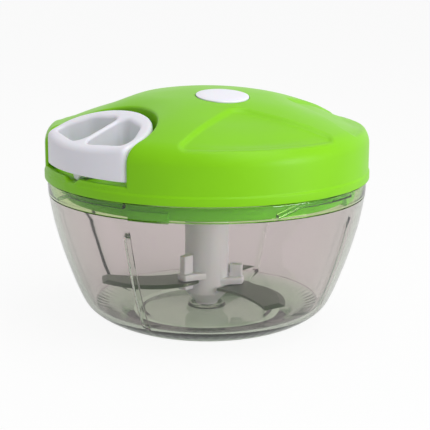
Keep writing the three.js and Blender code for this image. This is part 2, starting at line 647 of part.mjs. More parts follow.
// Spool retainer: a washer and a screw from below into the arbor.
const washerTop = webBottom - FIT;
const washerBottom = washerTop - WASHER_THICKNESS;
addPiece('retaining_washer', revolveRing([[RETAINER_RADIUS + FIT, washerBottom],
  [WASHER_RADIUS, washerBottom], [WASHER_RADIUS, washerTop],
  [RETAINER_RADIUS + FIT, washerTop]], HUB_FACETS), STEEL);
addPiece('retaining_screw', makeScrew(RETAINER_RADIUS, RETAINER_LENGTH, RETAINER_HEAD_RADIUS,
  RETAINER_HEAD_HEIGHT, washerBottom - FIT), STEEL);

// Spool: cord drum below, spring cup above, hexagon socket in its foot.
function makeSpool() {
  const cupRadius = SPOOL_FLANGE_RADIUS - CUP_WALL;
  let spool = revolve([[0, spoolBottom], [SPOOL_FLANGE_RADIUS, spoolBottom],
    [SPOOL_FLANGE_RADIUS, drumBottom], [DRUM_RADIUS, drumBottom],
    [DRUM_RADIUS, drumTop], [SPOOL_FLANGE_RADIUS, drumTop],
    [SPOOL_FLANGE_RADIUS, cupTop], [cupRadius, cupTop],
    [cupRadius, cupFloor], [0, cupFloor]], SHELL_FACETS);
  spool = spool.subtract(prism(hexagon(SOCKET_FLATS), spoolBottom - OVERRUN, spoolBottom + SOCKET_DEPTH));
  spool = spool.subtract(turnedPin(SOCKET_CAVITY_RADIUS, spoolBottom + SOCKET_DEPTH, webBottom, HUB_FACETS));
  return spool.subtract(turnedPin(bushRadius + FIT, webBottom - OVERRUN, cupFloor + OVERRUN, HUB_FACETS));
}

addPiece('spool', makeSpool(), WHITE);

addPiece('spool_bush', revolveRing([[JOURNAL_RADIUS + FIT, webBottom], [bushRadius, webBottom],
  [bushRadius, cupFloor + FIT], [BUSH_FLANGE_RADIUS, cupFloor + FIT], [BUSH_FLANGE_RADIUS, bushTop],
  [JOURNAL_RADIUS + FIT, bushTop]], HUB_FACETS), NYLON);

const coverHole = ARBOR_RADIUS + RUNNING_FIT;
const coverBottom = cupTop + FIT;
addPiece('spring_cover', revolveRing([[coverHole, coverBottom], [SPOOL_FLANGE_RADIUS, coverBottom],
  [SPOOL_FLANGE_RADIUS, coverBottom + COVER_THICKNESS], [coverHole, coverBottom + COVER_THICKNESS],
], HUB_FACETS), WHITE);

// A tube of round section along a curve, for the cord.
function tubeAlong(curve, radius, sides, steps) {
  const section = new THREE.Shape();
  for (let i = 0; i < sides; i += 1) {
    const angle = 2 * Math.PI * i / sides;
    if (i === 0) section.moveTo(radius, 0);
    else section.lineTo(radius * Math.cos(angle), radius * Math.sin(angle));
  }
  return solidOf(new THREE.ExtrudeGeometry(section, { steps, extrudePath: curve, bevelEnabled: false }));
}

class Helix extends THREE.Curve {
  constructor(radius, bottom, top, turns) {
    super();
    Object.assign(this, { radius, bottom, top, turns });
  }

  getPoint(share, target = new THREE.Vector3()) {
    const angle = 2 * Math.PI * this.turns * share;
    return target.set(this.radius * Math.cos(angle), this.radius * Math.sin(angle),
      THREE.MathUtils.lerp(this.bottom, this.top, share));
  }
}

// The cord on its drum, one layer of turns side by side.
const windingRadius = DRUM_RADIUS + RUNNING_FIT + CORD_RADIUS;
function makeWinding() {
  const coil = new Helix(windingRadius, drumBottom + FIT + CORD_RADIUS, drumTop - FIT - CORD_RADIUS,
    CORD_TURNS);
  return tubeAlong(coil, CORD_RADIUS, 5, CORD_TURN_STEPS * CORD_TURNS);
}

addPiece('cord_winding', makeWinding(), CORD);

// Recoil spring: a flat spiral strip whose inner end is hooked in the arbor's slot.
function makeSpring() {
  const inner = ARBOR_RADIUS + FIT + SPRING_STRIP;
  const outer = SPOOL_FLANGE_RADIUS - CUP_WALL - FIT - SPRING_STRIP;
  const count = Math.round(SPRING_TURNS * SPRING_TURN_STEPS);
  const sections = Array.from({ length: count + 1 }, (_, i) => {
    const radius = THREE.MathUtils.lerp(inner, outer, i / count);
    const angle = 2 * Math.PI * SPRING_TURNS * i / count;
    const at = (r, rise) => [r * Math.cos(angle), r * Math.sin(angle), springBottom + rise];
    return [at(radius, 0), at(radius + SPRING_STRIP, 0), at(radius + SPRING_STRIP, SPRING_HEIGHT),
      at(radius, SPRING_HEIGHT)];
  });
  const hook = prism(roundedOutline([[ARBOR_RADIUS - ARBOR_SLOT_DEPTH + FIT, -SPRING_STRIP / 2],
    [inner + SPRING_STRIP / 2, -SPRING_STRIP / 2], [inner + SPRING_STRIP / 2, SPRING_STRIP / 2],
    [ARBOR_RADIUS - ARBOR_SLOT_DEPTH + FIT, SPRING_STRIP / 2]], [0, 0, 0, 0]), springBottom,
    springBottom + SPRING_HEIGHT);
  return barThrough(sections).add(hook);
}

addPiece('recoil_spring', makeSpring(), STEEL);

// Pull handle.
function handlePlan() {
  const half = HANDLE_HALF_WIDTH;
  const faceAngle = Math.asin(half / handleRadius);
  const cornerAngle = faceAngle - HANDLE_CORNER / handleRadius;
  const centre = handleInnerEnd + HANDLE_END_DEPTH;
  const cornerX = handleRadius * Math.cos(faceAngle);
  const shape = new THREE.Shape();
  shape.moveTo(handleRadius * Math.cos(cornerAngle), -handleRadius * Math.sin(cornerAngle));
  shape.absarc(0, 0, handleRadius, -cornerAngle, cornerAngle, false);
  shape.quadraticCurveTo(cornerX, half, cornerX - HANDLE_CORNER, half);
  shape.lineTo(centre, half);
  shape.absellipse(centre, 0, HANDLE_END_DEPTH, half, Math.PI / 2, 3 * Math.PI / 2, false, 0);
  shape.lineTo(cornerX - HANDLE_CORNER, -half);
  shape.quadraticCurveTo(cornerX, -half, handleRadius * Math.cos(cornerAngle),
    -handleRadius * Math.sin(cornerAngle));
  return shape;
}

// One finger well, on the +Y side of the bar.
function wellPlan() {
  const near = HANDLE_BAR / 2;
  const far = HANDLE_HALF_WIDTH - HANDLE_SIDE_WALL;
  const face = handleRadius - HANDLE_FACE_WALL;
  const end = handleInnerEnd + HANDLE_END_WALL;
  const depth = handleInnerEnd + HANDLE_END_DEPTH - end;
  const [bend, spread] = WELL_END_SHARES;
  return roundedOutline([[end, near], [face, near], [Math.sqrt(face ** 2 - far ** 2), far],
    [end + depth, far], [end + bend * depth, near + spread * (far - near)]],
  [WELL_CORNER, WELL_CORNER, WELL_CORNER, WELL_CORNER, WELL_CORNER]);
}

function makeHandle() {
  let handle = prism(handlePlan(), handleBottom, apexHeight, 10);
  handle = handle.intersect(towards(underDome(skirtBottom, 0, HANDLE_TOP_DROP), 90));
  const well = prism(wellPlan(), handleBottom - OVERRUN, apexHeight + OVERRUN, 5);
  handle = handle.subtract(well).subtract(well.mirror([0, 1, 0]));
  handle = handle.add(radialPin(CORD_BOSS_RADIUS, handleInnerEnd + CORD_BOSS_BACK_SETBACK,
    handleRadius - CORD_BOSS_FACE_SETBACK, cordHeight));
  handle = handle.subtract(radialPin(CORD_BORE_RADIUS, handleInnerEnd - OVERRUN, knotPlace, cordHeight));
  handle = handle.subtract(radialPin(KNOT_RADIUS + FIT, knotPlace - KNOT_RADIUS - FIT,
    knotPlace + KNOT_RADIUS + FIT, cordHeight));
  const knotDoor = turnedPin(KNOT_RADIUS + FIT, handleBottom - CORD_BOSS_RADIUS - OVERRUN, cordHeight)
    .translate([knotPlace, 0, 0]);
  return towards(handle.subtract(knotDoor), HANDLE_AZIMUTH);
}

addPiece('pull_handle', makeHandle(), WHITE);

const knot = solidOf(new THREE.IcosahedronGeometry(KNOT_RADIUS, 1)).translate([knotPlace, 0, cordHeight]);
addPiece('cord_knot', towards(knot, HANDLE_AZIMUTH), CORD);

// Eyelet: a flanged guide pressed through the pocket's inner wall.
const eyeletStart = pocketWallFace - POCKET_WALL - FIT;
function makeEyelet() {
  const seat = pocketWallFace + FIT;
  const end = seat + EYELET_FLANGE_THICKNESS;
  const eyelet = revolveRing([[EYELET_BORE, eyeletStart], [EYELET_BARREL, eyeletStart], [EYELET_BARREL, seat],
    [EYELET_FLANGE, seat], [EYELET_FLANGE, end], [EYELET_BORE, end]], PIN_FACETS);
  return towards(eyelet.rotate([0, 90, 0]).translate([0, 0, cordHeight]), HANDLE_AZIMUTH);
}

addPiece('cord_eyelet', makeEyelet(), WHITE);

// The cord from its winding to the eyelet, and on through the boss to its knot.
const tangentAngle = Math.acos(windingRadius / eyeletStart);
function makeCordLead() {
  const tangent = new THREE.Vector2(windingRadius * Math.cos(tangentAngle),
    windingRadius * Math.sin(tangentAngle));
  const mouth = new THREE.Vector2(eyeletStart - CORD_RADIUS, 0);
  const clear = windingRadius + 2 * CORD_RADIUS + RUNNING_FIT;
  const along = mouth.clone().sub(tangent).normalize();
  const start = tangent.clone().addScaledVector(along, Math.sqrt(clear ** 2 - windingRadius ** 2));
  const path = new THREE.LineCurve3(new THREE.Vector3(start.x, start.y, cordHeight),
    new THREE.Vector3(mouth.x, mouth.y, cordHeight));
  return towards(tubeAlong(path, CORD_RADIUS, 8, 1), HANDLE_AZIMUTH);
}

addPiece('cord_lead', makeCordLead(), CORD);
addPiece('pull_cord', towards(radialPin(CORD_RADIUS, eyeletStart + CORD_RADIUS, knotPlace - KNOT_RADIUS - FIT,
  cordHeight, 8), HANDLE_AZIMUTH), CORD);

// Cutter shaft with its three arms, each with a post that stands on it.
const armAzimuths = azimuths(ARM_AZIMUTH, ARMS);
const armLevels = armAzimuths.map((_, i) => FLOOR_HEIGHT + ARM_LIFT - i * ARM_LEVEL_STEP);
const armEnd = SHAFT_RADIUS + ARM_REACH;
const postStart = SHAFT_RADIUS + POST_GAP;
const pegStart = SHAFT_RADIUS + PEG_START_GAP;

// A block from one radius to another, centred on the X axis.
const block = (start, end, width, bottom, top) => prism(roundedOutline([
  [start, -width / 2], [end, -width / 2], [end, width / 2], [start, width / 2],
], [0, 0, 0, 0]), bottom, top);

// An arm that narrows outwards, with its post and a socket for the blade's peg.
function makeArm(rise) {
  const inner = SHAFT_RADIUS / 2 + PIN_RADIUS / 2;
  const plan = roundedOutline([[inner, -ARM_ROOT_WIDTH / 2], [armEnd, -ARM_TIP_WIDTH / 2],
    [armEnd, ARM_TIP_WIDTH / 2], [inner, ARM_ROOT_WIDTH / 2]], [0, ARM_CORNER, ARM_CORNER, 0]);
  const bottom = ARM_THICKNESS - FIT;
  const top = ARM_THICKNESS + rise;
  const half = POST_WIDTH / 2;
  const across = (x, z, side) => [x, side * half, z];
  const postEnd = postStart + POST_LENGTH;
  const post = barThrough([1, -1].map((side) => [
    across(postStart, bottom, side), across(postStart, top, side),
    across(postEnd - POST_SLOPE, top, side), across(postEnd, bottom, side),
  ]));
  const socket = block(pegStart - FIT, pegStart + PEG_LENGTH + FIT, PEG_WIDTH + 2 * FIT,
    -OVERRUN, PEG_DEPTH + FIT);
  return prism(plan, 0, ARM_THICKNESS, 3).add(post).subtract(socket);
}

function makeShaft() {
  const foot = shaftBottom + SHAFT_FOOT_HEIGHT;
  const neckBottom = shaftTop - SHAFT_NECK_LENGTH;
  let shaft = revolve([[0, shaftBottom], [SHAFT_FOOT_RADIUS, shaftBottom], [SHAFT_FOOT_RADIUS, foot],
    [SHAFT_RADIUS, shaftBottom + SHAFT_TAPER_RISE], [SHAFT_RADIUS, neckBottom],
    [SHAFT_RADIUS - SHAFT_NECK_STEP, neckBottom], [SHAFT_RADIUS - SHAFT_NECK_STEP, shaftTop], [0, shaftTop]],
  HUB_FACETS);
  shaft = shaft.add(prism(hexagon(DRIVE_FLATS), shaftTop - OVERRUN, driveTop));
  armAzimuths.forEach((azimuth, i) => {
    shaft = shaft.add(towards(makeArm(POST_RISES[i]), azimuth).translate([0, 0, armLevels[i]]));
  });
  return shaft.subtract(turnedPin(PIN_RADIUS + RUNNING_FIT, shaftBottom - OVERRUN, pinTop + RUNNING_FIT));
}

addPiece('cutter_shaft', makeShaft(), WHITE);

// A sickle blade: a flat tang under the arm and a broad swept wing that droops a little.
function makeBlade() {
  const half = BLADE_TANG_WIDTH / 2;
  const heel = SHAFT_RADIUS + BLADE_HEEL_GAP;
  const reach = BLADE_REACH_SHARE * bandRadius;
  const [front, back] = BLADE_TIP_AZIMUTHS.map((azimuth) => {
    const angle = THREE.MathUtils.degToRad(azimuth);
    return [reach * Math.cos(angle), reach * Math.sin(angle)];
  });
  const at = ([along, across]) => [along * reach, across * reach];
  const root = [BLADE_ROOT_SHARES[0] * SHAFT_RADIUS, BLADE_ROOT_SHARES[1] * SHAFT_RADIUS];
  const wing = new THREE.Shape();
  wing.moveTo(heel, half);
  wing.quadraticCurveTo(...at(BLADE_FRONT_SHARES), ...front);
  wing.lineTo(...back);
  wing.quadraticCurveTo(...at(BLADE_BACK_SHARES), ...root);
  wing.lineTo(SHAFT_RADIUS + RUNNING_FIT, -half);
  wing.lineTo(SHAFT_RADIUS + RUNNING_FIT, half);
  const swept = prism(wing, -BLADE_THICKNESS, 0, BLADE_CURVE_STEPS);
  return swept.subtract(block(pegStart - FIT, pegStart + PEG_LENGTH + FIT, PEG_WIDTH + 2 * FIT,
    -BLADE_THICKNESS - OVERRUN, OVERRUN));
}

// A peg pressed up through the blade into the arm, with its head under the blade.
function makePeg() {
  const seat = -2 * FIT - BLADE_THICKNESS;
  const head = block(pegStart - PEG_HEAD_MARGIN, pegStart + PEG_LENGTH + PEG_HEAD_MARGIN,
    PEG_WIDTH + 2 * PEG_HEAD_MARGIN, seat - PEG_HEAD_HEIGHT, seat);
  return head.add(block(pegStart, pegStart + PEG_LENGTH, PEG_WIDTH, seat - FIT, PEG_DEPTH));
}

['upper', 'middle', 'lower'].forEach((level, i) => {
  const place = (solid, lift) => towards(solid, armAzimuths[i]).translate([0, 0, armLevels[i] + lift]);
  addPiece(`blade_${level}`, place(makeBlade(), -FIT), STEEL);
  addPiece(`blade_peg_${level}`, place(makePeg(), 0), WHITE);
});

export default chopper;
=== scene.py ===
"""Looks of a pull-cord food chopper: a clear bowl, a lime lid with a cord-driven spool, and a bladed cutter.

Everything is worked out in millimetres, with +Z up and the origin at the centre of the foot, and is turned
into metres where a mesh is made. Azimuths are degrees round Z from the front (-Y) towards the right (+X).
"""
from math import asin, atan2, copysign, cos, dist, hypot, pi, radians, sin, sqrt, tan

import bmesh
import bpy
import numpy as np
from mathutils import Matrix, Vector
from mathutils.geometry import delaunay_2d_cdt


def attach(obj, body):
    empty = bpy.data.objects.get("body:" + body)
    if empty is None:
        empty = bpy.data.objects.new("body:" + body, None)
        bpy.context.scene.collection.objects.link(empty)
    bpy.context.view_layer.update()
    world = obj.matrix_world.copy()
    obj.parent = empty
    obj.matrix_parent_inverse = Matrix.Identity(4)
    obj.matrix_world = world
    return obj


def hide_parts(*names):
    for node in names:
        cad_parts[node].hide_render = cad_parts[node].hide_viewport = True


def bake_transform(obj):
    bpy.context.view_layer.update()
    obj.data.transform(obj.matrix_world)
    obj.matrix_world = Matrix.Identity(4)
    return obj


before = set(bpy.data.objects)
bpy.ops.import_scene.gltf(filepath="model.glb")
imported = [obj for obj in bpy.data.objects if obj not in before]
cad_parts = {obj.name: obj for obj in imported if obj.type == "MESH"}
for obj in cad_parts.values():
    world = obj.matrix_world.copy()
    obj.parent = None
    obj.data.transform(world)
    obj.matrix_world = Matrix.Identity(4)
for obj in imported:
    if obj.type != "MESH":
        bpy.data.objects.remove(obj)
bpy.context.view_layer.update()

columns = np.column_stack
MM = 0.001
SEAM = 2e-6


def new_object(name, data):
    made = bpy.data.objects.new(name, data)
    bpy.context.scene.collection.objects.link(made)
    return made


# The product's main sizes. The crown is lower than the solids' own, to follow the photograph's outline.
LID_RADIUS, APEX_HEIGHT, SKIRT_BOTTOM = 65.0, 95.98, 61.0
BAND_HEIGHT, BAND_RADIUS = 54.6, 64.0
HANDLE_AZIMUTH = -51.5
ABOVE_ALL = 99.0

# The photograph's camera, with its angles in degrees and its place in metres.
SENSOR_WIDTH, FOCAL_PIXELS, PHOTO_PIXELS = 36.0, 1252.0, 430.0
CAMERA_PLACE, CAMERA_DIP, CAMERA_ROLL = (0.0033, -0.500, 0.1559), 12.64, 0.30


def place_camera():
    data = bpy.data.cameras.new("photo_camera")
    data.sensor_width = SENSOR_WIDTH
    data.lens = SENSOR_WIDTH * FOCAL_PIXELS / PHOTO_PIXELS
    data.clip_start = 0.01
    camera = new_object("photo_camera", data)
    dip = Matrix.Rotation(radians(90.0 - CAMERA_DIP), 4, "X")
    roll = Matrix.Rotation(radians(CAMERA_ROLL), 4, "Z")
    camera.matrix_world = Matrix.Translation(CAMERA_PLACE) @ (dip @ roll)
    bpy.context.scene.camera = camera


# Mesh making.
class Shell:
    """Points in millimetres and faces, gathered from several surfaces into one closed mesh."""

    def __init__(self):
        self.points, self.faces = [], []

    def add(self, points, faces, place=None):
        start = len(self.points)
        for point in points:
            vector = Vector(point)
            self.points.append(place @ vector if place is not None else vector)
        self.faces += [[start + i for i in face] for face in faces]
        return self

    def build(self, name, sharp=32.0):
        mesh = bpy.data.meshes.new(name)
        mesh.from_pydata([tuple(point * MM) for point in self.points], [], self.faces)
        mend(mesh, sharp, outward=True)
        return new_object(name, mesh)


def mend(mesh, sharp, outward=False):
    """Merges doubled points, drops empty faces, and shades the mesh with edges over an angle kept sharp."""
    work = bmesh.new()
    work.from_mesh(mesh)
    bmesh.ops.remove_doubles(work, verts=work.verts, dist=SEAM)
    bmesh.ops.dissolve_degenerate(work, edges=work.edges, dist=SEAM)
    if outward:
        bmesh.ops.recalc_face_normals(work, faces=work.faces)
    work.to_mesh(mesh)
    work.free()
    mesh.shade_smooth()
    mesh.set_sharp_from_angle(angle=radians(sharp))


def evaluated_copy(piece, name):
    """Bakes a piece's modifiers into a plain mesh and drops the piece."""
    graph = bpy.context.evaluated_depsgraph_get()
    mesh = bpy.data.meshes.new_from_object(piece.evaluated_get(graph))
    mesh.name = name
    bpy.data.objects.remove(piece)
    return new_object(name, mesh)


def combine(piece, tools, operation="DIFFERENCE", sharp=32.0):
    """Cuts a piece by solids, or joins them to it."""
    name = piece.name
    for tool in tools:
        step = piece.modifiers.new("cut", "BOOLEAN")
        step.operation = operation
        step.solver = "EXACT"
        step.object = tool
    piece.name = "raw_" + name
    result = evaluated_copy(piece, name)
    for tool in tools:
        bpy.data.objects.remove(tool)
    mend(result.data, sharp)
    return result


STRAIGHT, LARGEST_SHARE = radians(178), 0.49


def rounded(corners, radii, steps=5, closed=True):
    """A path whose corners are replaced by arcs; radii is one number or one for each corner."""
    count = len(corners)
    if not hasattr(radii, "__len__"):
        radii = [radii] * count
    path = []
    for i, (corner, radius) in enumerate(zip(corners, radii)):
        at = Vector(corner)
        if radius <= 0 or (not closed and i in (0, count - 1)):
            path.append(tuple(at))
            continue
        before = Vector(corners[i - 1]) - at
        after = Vector(corners[(i + 1) % count]) - at
        angle = before.angle(after)
        if angle > STRAIGHT:
            path.append(tuple(at))
            continue
        run = min(radius / tan(angle / 2), before.length * LARGEST_SHARE, after.length * LARGEST_SHARE)
        reach = run * tan(angle / 2)
        middle = at + (before.normalized() + after.normalized()).normalized() * (reach / sin(angle / 2))
        start = at + before.normalized() * run - middle
        end = at + after.normalized() * run - middle
        sweep = start.angle_signed(end)
        for k in range(steps + 1):
            turned_by = Matrix.Rotation(-sweep * k / steps, 2)
            path.append(tuple(middle + turned_by @ start))
    return path


def turned(profile, sides, angles=None):
    """Points and faces of a closed (radius, height) profile turned round Z, by even or given angles."""
    angles = angles or [2 * pi * j / sides for j in range(sides)]
    count, rows = len(profile), len(angles)
    points = [(r * cos(a), r * sin(a), z) for a in angles for r, z in profile]
    faces = []
    for j in range(rows):
        k = (j + 1) % rows
        for i in range(count):
            n = (i + 1) % count
            if profile[i][0] <= 0 and profile[n][0] <= 0:
                continue
            faces.append([j * count + i, j * count + n, k * count + n, k * count + i])
    return points, faces


def loft(rings):
    """Points and faces of a skin over rings of as many points each, with its ends closed."""
    count, last = len(rings[0]), (len(rings) - 1) * len(rings[0])
    points = [tuple(p) for ring in rings for p in ring]
    ends = [list(range(count))[::-1], [last + i for i in range(count)]]
    return points, skin(len(rings), count) + ends


def skin(rows, count):
    """Faces from each ring of points to the next."""
    faces = []
    for start in range(0, (rows - 1) * count, count):
        for i in range(count):
            n = (i + 1) % count
            faces.append([start + i, start + n, start + count + n, start + count + i])
    return faces


def prism(outline, bottom, top):
    return loft([[(x, y, z) for x, y in outline] for z in (bottom, top)])


def pin(radius, bottom, top, sides=48):
    return turned([(0, bottom), (radius, bottom), (radius, top), (0, top)], sides)


def tool(name, form, place=None):
    return Shell().add(*form, place=place).build(name)


def lathe(name, profile, sides, sharp=32.0, place=None):
    return Shell().add(*turned(profile, sides), place=place).build(name, sharp)


def towards(azimuth):
    """Turns a form built with +X outwards to an azimuth."""
    return Matrix.Rotation(radians(azimuth - 90.0), 4, "Z")


def along_x(height):
    """Lays a form built along +Z down along +X at a height."""
    return Matrix.Translation((0, 0, height)) @ Matrix.Rotation(radians(90), 4, "Y")


handle_side = towards(HANDLE_AZIMUTH)


def inside(points, loop):
    """Which plan points a closed loop holds."""
    held = np.zeros(len(points), bool)
    x, y = points[:, 0], points[:, 1]
    for (x0, y0), (x1, y1) in zip(loop, np.roll(loop, -1, axis=0)):
        if y0 == y1:
            continue
        crosses = (y0 > y) != (y1 > y)
        held ^= crosses & (x < (x1 - x0) * (y - y0) / (y1 - y0) + x0)
    return held


def distance_to(points, loop):
    """Signed distance of plan points from a closed loop, negative inside it."""
    nearest = np.full(len(points), np.inf)
    for start, end in zip(loop, np.roll(loop, -1, axis=0)):
        run = end - start
        share = np.clip(((points - start) @ run) / max(run @ run, 1e-12), 0, 1)
        nearest = np.minimum(nearest, np.hypot(*(points - start - share[:, None] * run).T))
    return np.where(inside(points, loop), -nearest, nearest)


def sheet(loops, fill):
    """Triangles between an outer loop and its holes, through extra points."""
    flat = [Vector(p) for loop in [*loops, fill] for p in loop]
    edges, start = [], 0
    for loop in loops:
        edges += [(start + i, start + (i + 1) % len(loop)) for i in range(len(loop))]
        start += len(loop)
    verts, _, faces, _, _, _ = delaunay_2d_cdt(flat, edges, [], 0, 1e-6)
    verts = np.array([tuple(v) for v in verts])
    faces = np.array(faces)
    middles = verts[faces].mean(axis=1)
    keep = inside(middles, np.array(loops[0]))
    for hole in loops[1:]:
        keep &= ~inside(middles, np.array(hole))
    return verts, faces[keep]


def unit(vectors):
    return vectors / np.maximum(np.hypot(*vectors.T), 1e-9)[:, None]


def run_along(path):
    """The distance along a path to each of its points."""
    return np.concatenate([[0], np.cumsum(np.hypot(*np.diff(path, axis=0).T))])


def normals_of(loop):
    """Outward unit normals of a counter-clockwise plan loop."""
    ahead = unit(np.roll(loop, -1, axis=0) - loop)
    mean = unit(ahead + np.roll(ahead, 1, axis=0))
    return np.stack([mean[:, 1], -mean[:, 0]], axis=1)


def evenly(path, spacing):
    """The same closed path with points at an even spacing."""
    path = np.array(path)
    closed = np.vstack([path, path[:1]])
    lengths = run_along(closed)
    count = max(12, int(round(lengths[-1] / spacing)))
    at = np.linspace(0, lengths[-1], count, endpoint=False)
    return np.stack([np.interp(at, lengths, closed[:, k]) for k in (0, 1)], axis=1)


def grid_inside(loops, spacing, margin):
    """Points on a grid, a margin clear of every loop."""
    outer = np.array(loops[0])
    low, high = outer.min(axis=0), outer.max(axis=0)
    xs = np.arange(low[0], high[0], spacing)
    ys = np.arange(low[1], high[1], spacing)
    points = np.array([(x, y) for x in xs for y in ys])
    clear = distance_to(points, outer) < -margin
    for hole in loops[1:]:
        clear &= distance_to(points, np.array(hole)) > margin
    return points[clear]


FILL_STEP, FILL_MARGIN = 1.6, 0.7


def moulded(outline, holes, top, bottom, top_round, bottom_round, spacing, steps=5):
    """A plate of any plan with heights from top and bottom; a round is for the outline and for the holes."""
    shell = Shell()
    loops = [(evenly(outline, spacing), top_round[0], bottom_round[0], 1)]
    loops += [(evenly(hole, spacing), top_round[1], bottom_round[1], -1) for hole in holes]
    rims = {"top": [], "bottom": []}
    for loop, over, under, way in loops:
        normal = normals_of(loop) * way
        rings = []
        for side, radius, surface, sign in (("top", over, top, -1), ("bottom", under, bottom, 1)):
            part = []
            for k in range(steps + 1):
                beta = pi / 2 * k / steps
                plan = loop - normal * radius * (1 - sin(beta))
                drop = radius * (1 - cos(beta))
                part.append(columns([plan, surface(plan) + sign * drop]))
            rims[side].append(part[0][:, :2])
            rings += part if side == "top" else part[::-1]
        shell.add(np.concatenate(rings), skin(len(rings), len(loop)))
    for side, surface in (("top", top), ("bottom", bottom)):
        fill = grid_inside(rims[side], spacing * FILL_STEP, spacing * FILL_MARGIN)
        verts, faces = sheet(rims[side], fill)
        shell.add(columns([verts, surface(verts)]), faces.tolist())
    return shell


def flat_at(height):
    return lambda plan: np.full(len(plan), float(height))


# The lid's outer form: a dome that runs over a round shoulder into the skirt and its bead.
DOME_RADIUS, SHOULDER_FILLET = 146.0, 9.0
DOME_CENTRE = APEX_HEIGHT - DOME_RADIUS
FILLET_RADIUS = LID_RADIUS - SHOULDER_FILLET
FILLET_HEIGHT = DOME_CENTRE + sqrt((DOME_RADIUS - SHOULDER_FILLET) ** 2 - FILLET_RADIUS ** 2)
SHOULDER_ANGLE = atan2(FILLET_HEIGHT - DOME_CENTRE, FILLET_RADIUS)


def dome_profile(inset, dome_steps, fillet_steps):
    """(radius, height) pairs from the crown to the top of the skirt."""
    angles = np.linspace(pi / 2, SHOULDER_ANGLE, dome_steps)
    reach = DOME_RADIUS - inset
    dome = columns([reach * np.cos(angles), DOME_CENTRE + reach * np.sin(angles)])
    angles = np.linspace(SHOULDER_ANGLE, 0, fillet_steps)[1:]
    reach = SHOULDER_FILLET - inset
    fillet = columns([FILLET_RADIUS + reach * np.cos(angles), FILLET_HEIGHT + reach * np.sin(angles)])
    return np.concatenate([dome, fillet])


BEAD_RADIUS, BEAD_WIDTH, BEAD_TOP, BEAD_START, BEAD_ROUND = LID_RADIUS + 0.4, 1.2, 64.0, 64.8, 0.5
skirt = rounded([(LID_RADIUS, FILLET_HEIGHT), (LID_RADIUS, BEAD_START), (BEAD_RADIUS, BEAD_TOP),
                 (BEAD_RADIUS, SKIRT_BOTTOM), (BEAD_RADIUS - BEAD_WIDTH, SKIRT_BOTTOM)],
                [0, BEAD_ROUND, BEAD_ROUND, BEAD_ROUND, 0], 4, closed=False)[1:]
dome_line = dome_profile(0, 400, 120)
dome_count = len(dome_line)
lid_line = np.concatenate([dome_line, np.array(skirt)])
lid_run = run_along(lid_line)
lid_slope = unit(np.gradient(lid_line, lid_run, axis=0))
shoulder_run = lid_run[dome_count - 1]

# Five ridges part the dome. Four of the parts have a sunk panel, and the fifth has the handle.
SECTORS = 5
PANEL_DEPTH, PANEL_EDGE = 1.2, 2.0
PANEL_HALF, PANEL_APEX, PANEL_OUTER = radians(30), 30.5, 62.4
APEX_ROUND, OUTER_ROUND = 7.0, 4.0
FACET_DEPTH, FACET_START, FACET_RISE, FACET_END = 1.5, 24.0, 18.0, 6.0
FALL_DEPTH, FALL_ASIDE, FALL_REACH = 1.4, radians(24), radians(36)


def panel_outline():
    """A sunk panel's rounded triangle, pointing at the crown."""
    steps = 10
    corners, radii = [(PANEL_APEX, 0)], [APEX_ROUND]
    for i in range(steps + 1):
        angle = -PANEL_HALF + 2 * PANEL_HALF * i / steps
        corners.append((PANEL_OUTER * cos(angle), PANEL_OUTER * sin(angle)))
        radii.append(OUTER_ROUND if i in (0, steps) else 0.0)
    return np.array(rounded(corners, radii, 6))


panel_azimuths = [HANDLE_AZIMUTH + 360 / SECTORS * k for k in range(1, SECTORS)]
panel_loop = panel_outline()


def turn_plan(points, azimuth):
    angle = radians(azimuth - 90)
    c, s = cos(angle), sin(angle)
    return points @ np.array([[c, s], [-s, c]])


def panel_gap(plan):
    """Signed distance of plan points from the nearest panel's outline."""
    gaps = [distance_to(turn_plan(plan, 180 - azimuth), panel_loop) for azimuth in panel_azimuths]
    return np.min(gaps, axis=0)


def smooth_step(value):
    value = np.clip(value, 0, 1)
    return value * value * (3 - 2 * value)


def facet(radius, angle):
    """How far the dome is sunk between its ridges, and more to one side of the handle; its angle is zero."""
    share = smooth_step((radius - FACET_START) / FACET_RISE) * smooth_step((LIP_RADIUS - radius) / FACET_END)
    aside = np.abs((angle + FALL_ASIDE + np.pi) % (2 * np.pi) - np.pi)
    fall = FALL_DEPTH * smooth_step(1.5 - aside / FALL_REACH)
    return share * (fall + FACET_DEPTH * (0.5 + 0.5 * np.cos(SECTORS * angle)))


def on_lid(unrolled, sunk=0.0):
    """Points of the lid from unrolled ones, whose distance from the centre is the run down the profile."""
    run = np.hypot(*unrolled.T)
    angle = np.arctan2(unrolled[:, 1], unrolled[:, 0])
    radius, height = (np.interp(run, lid_run, lid_line[:, k]) for k in (0, 1))
    ahead, down = (np.interp(run, lid_run, lid_slope[:, k]) for k in (0, 1))
    plan = columns([radius * np.cos(angle), radius * np.sin(angle)])
    sunk = sunk + PANEL_DEPTH * smooth_step(0.5 - panel_gap(plan) / PANEL_EDGE)
    sunk = sunk + facet(radius, angle - radians(HANDLE_AZIMUTH - 90))
    radius = radius + down * sunk
    return columns([radius * np.cos(angle), radius * np.sin(angle), height - ahead * sunk])


# The pocket for the handle, open through the skirt above its lip.
POCKET_HALF, POCKET_DEPTH, POCKET_CENTRE = 27.5, 19.2, 52.5
POCKET_FLOOR, LIP_TOP, LIP_RADIUS = 65.6, 66.8, 63.2
CORD_HEIGHT = 68.0
GROOVE_RADIUS, GROOVE_DIP, DIP_HALF, DIP_EASE = 2.9, 1.7, 5.0, 3.6
SIDE, END, FRONT = range(3)


def run_at(radius):
    """The run down the dome's profile to a radius."""
    return np.interp(radius, lid_line[:dome_count, 0], lid_run[:dome_count])


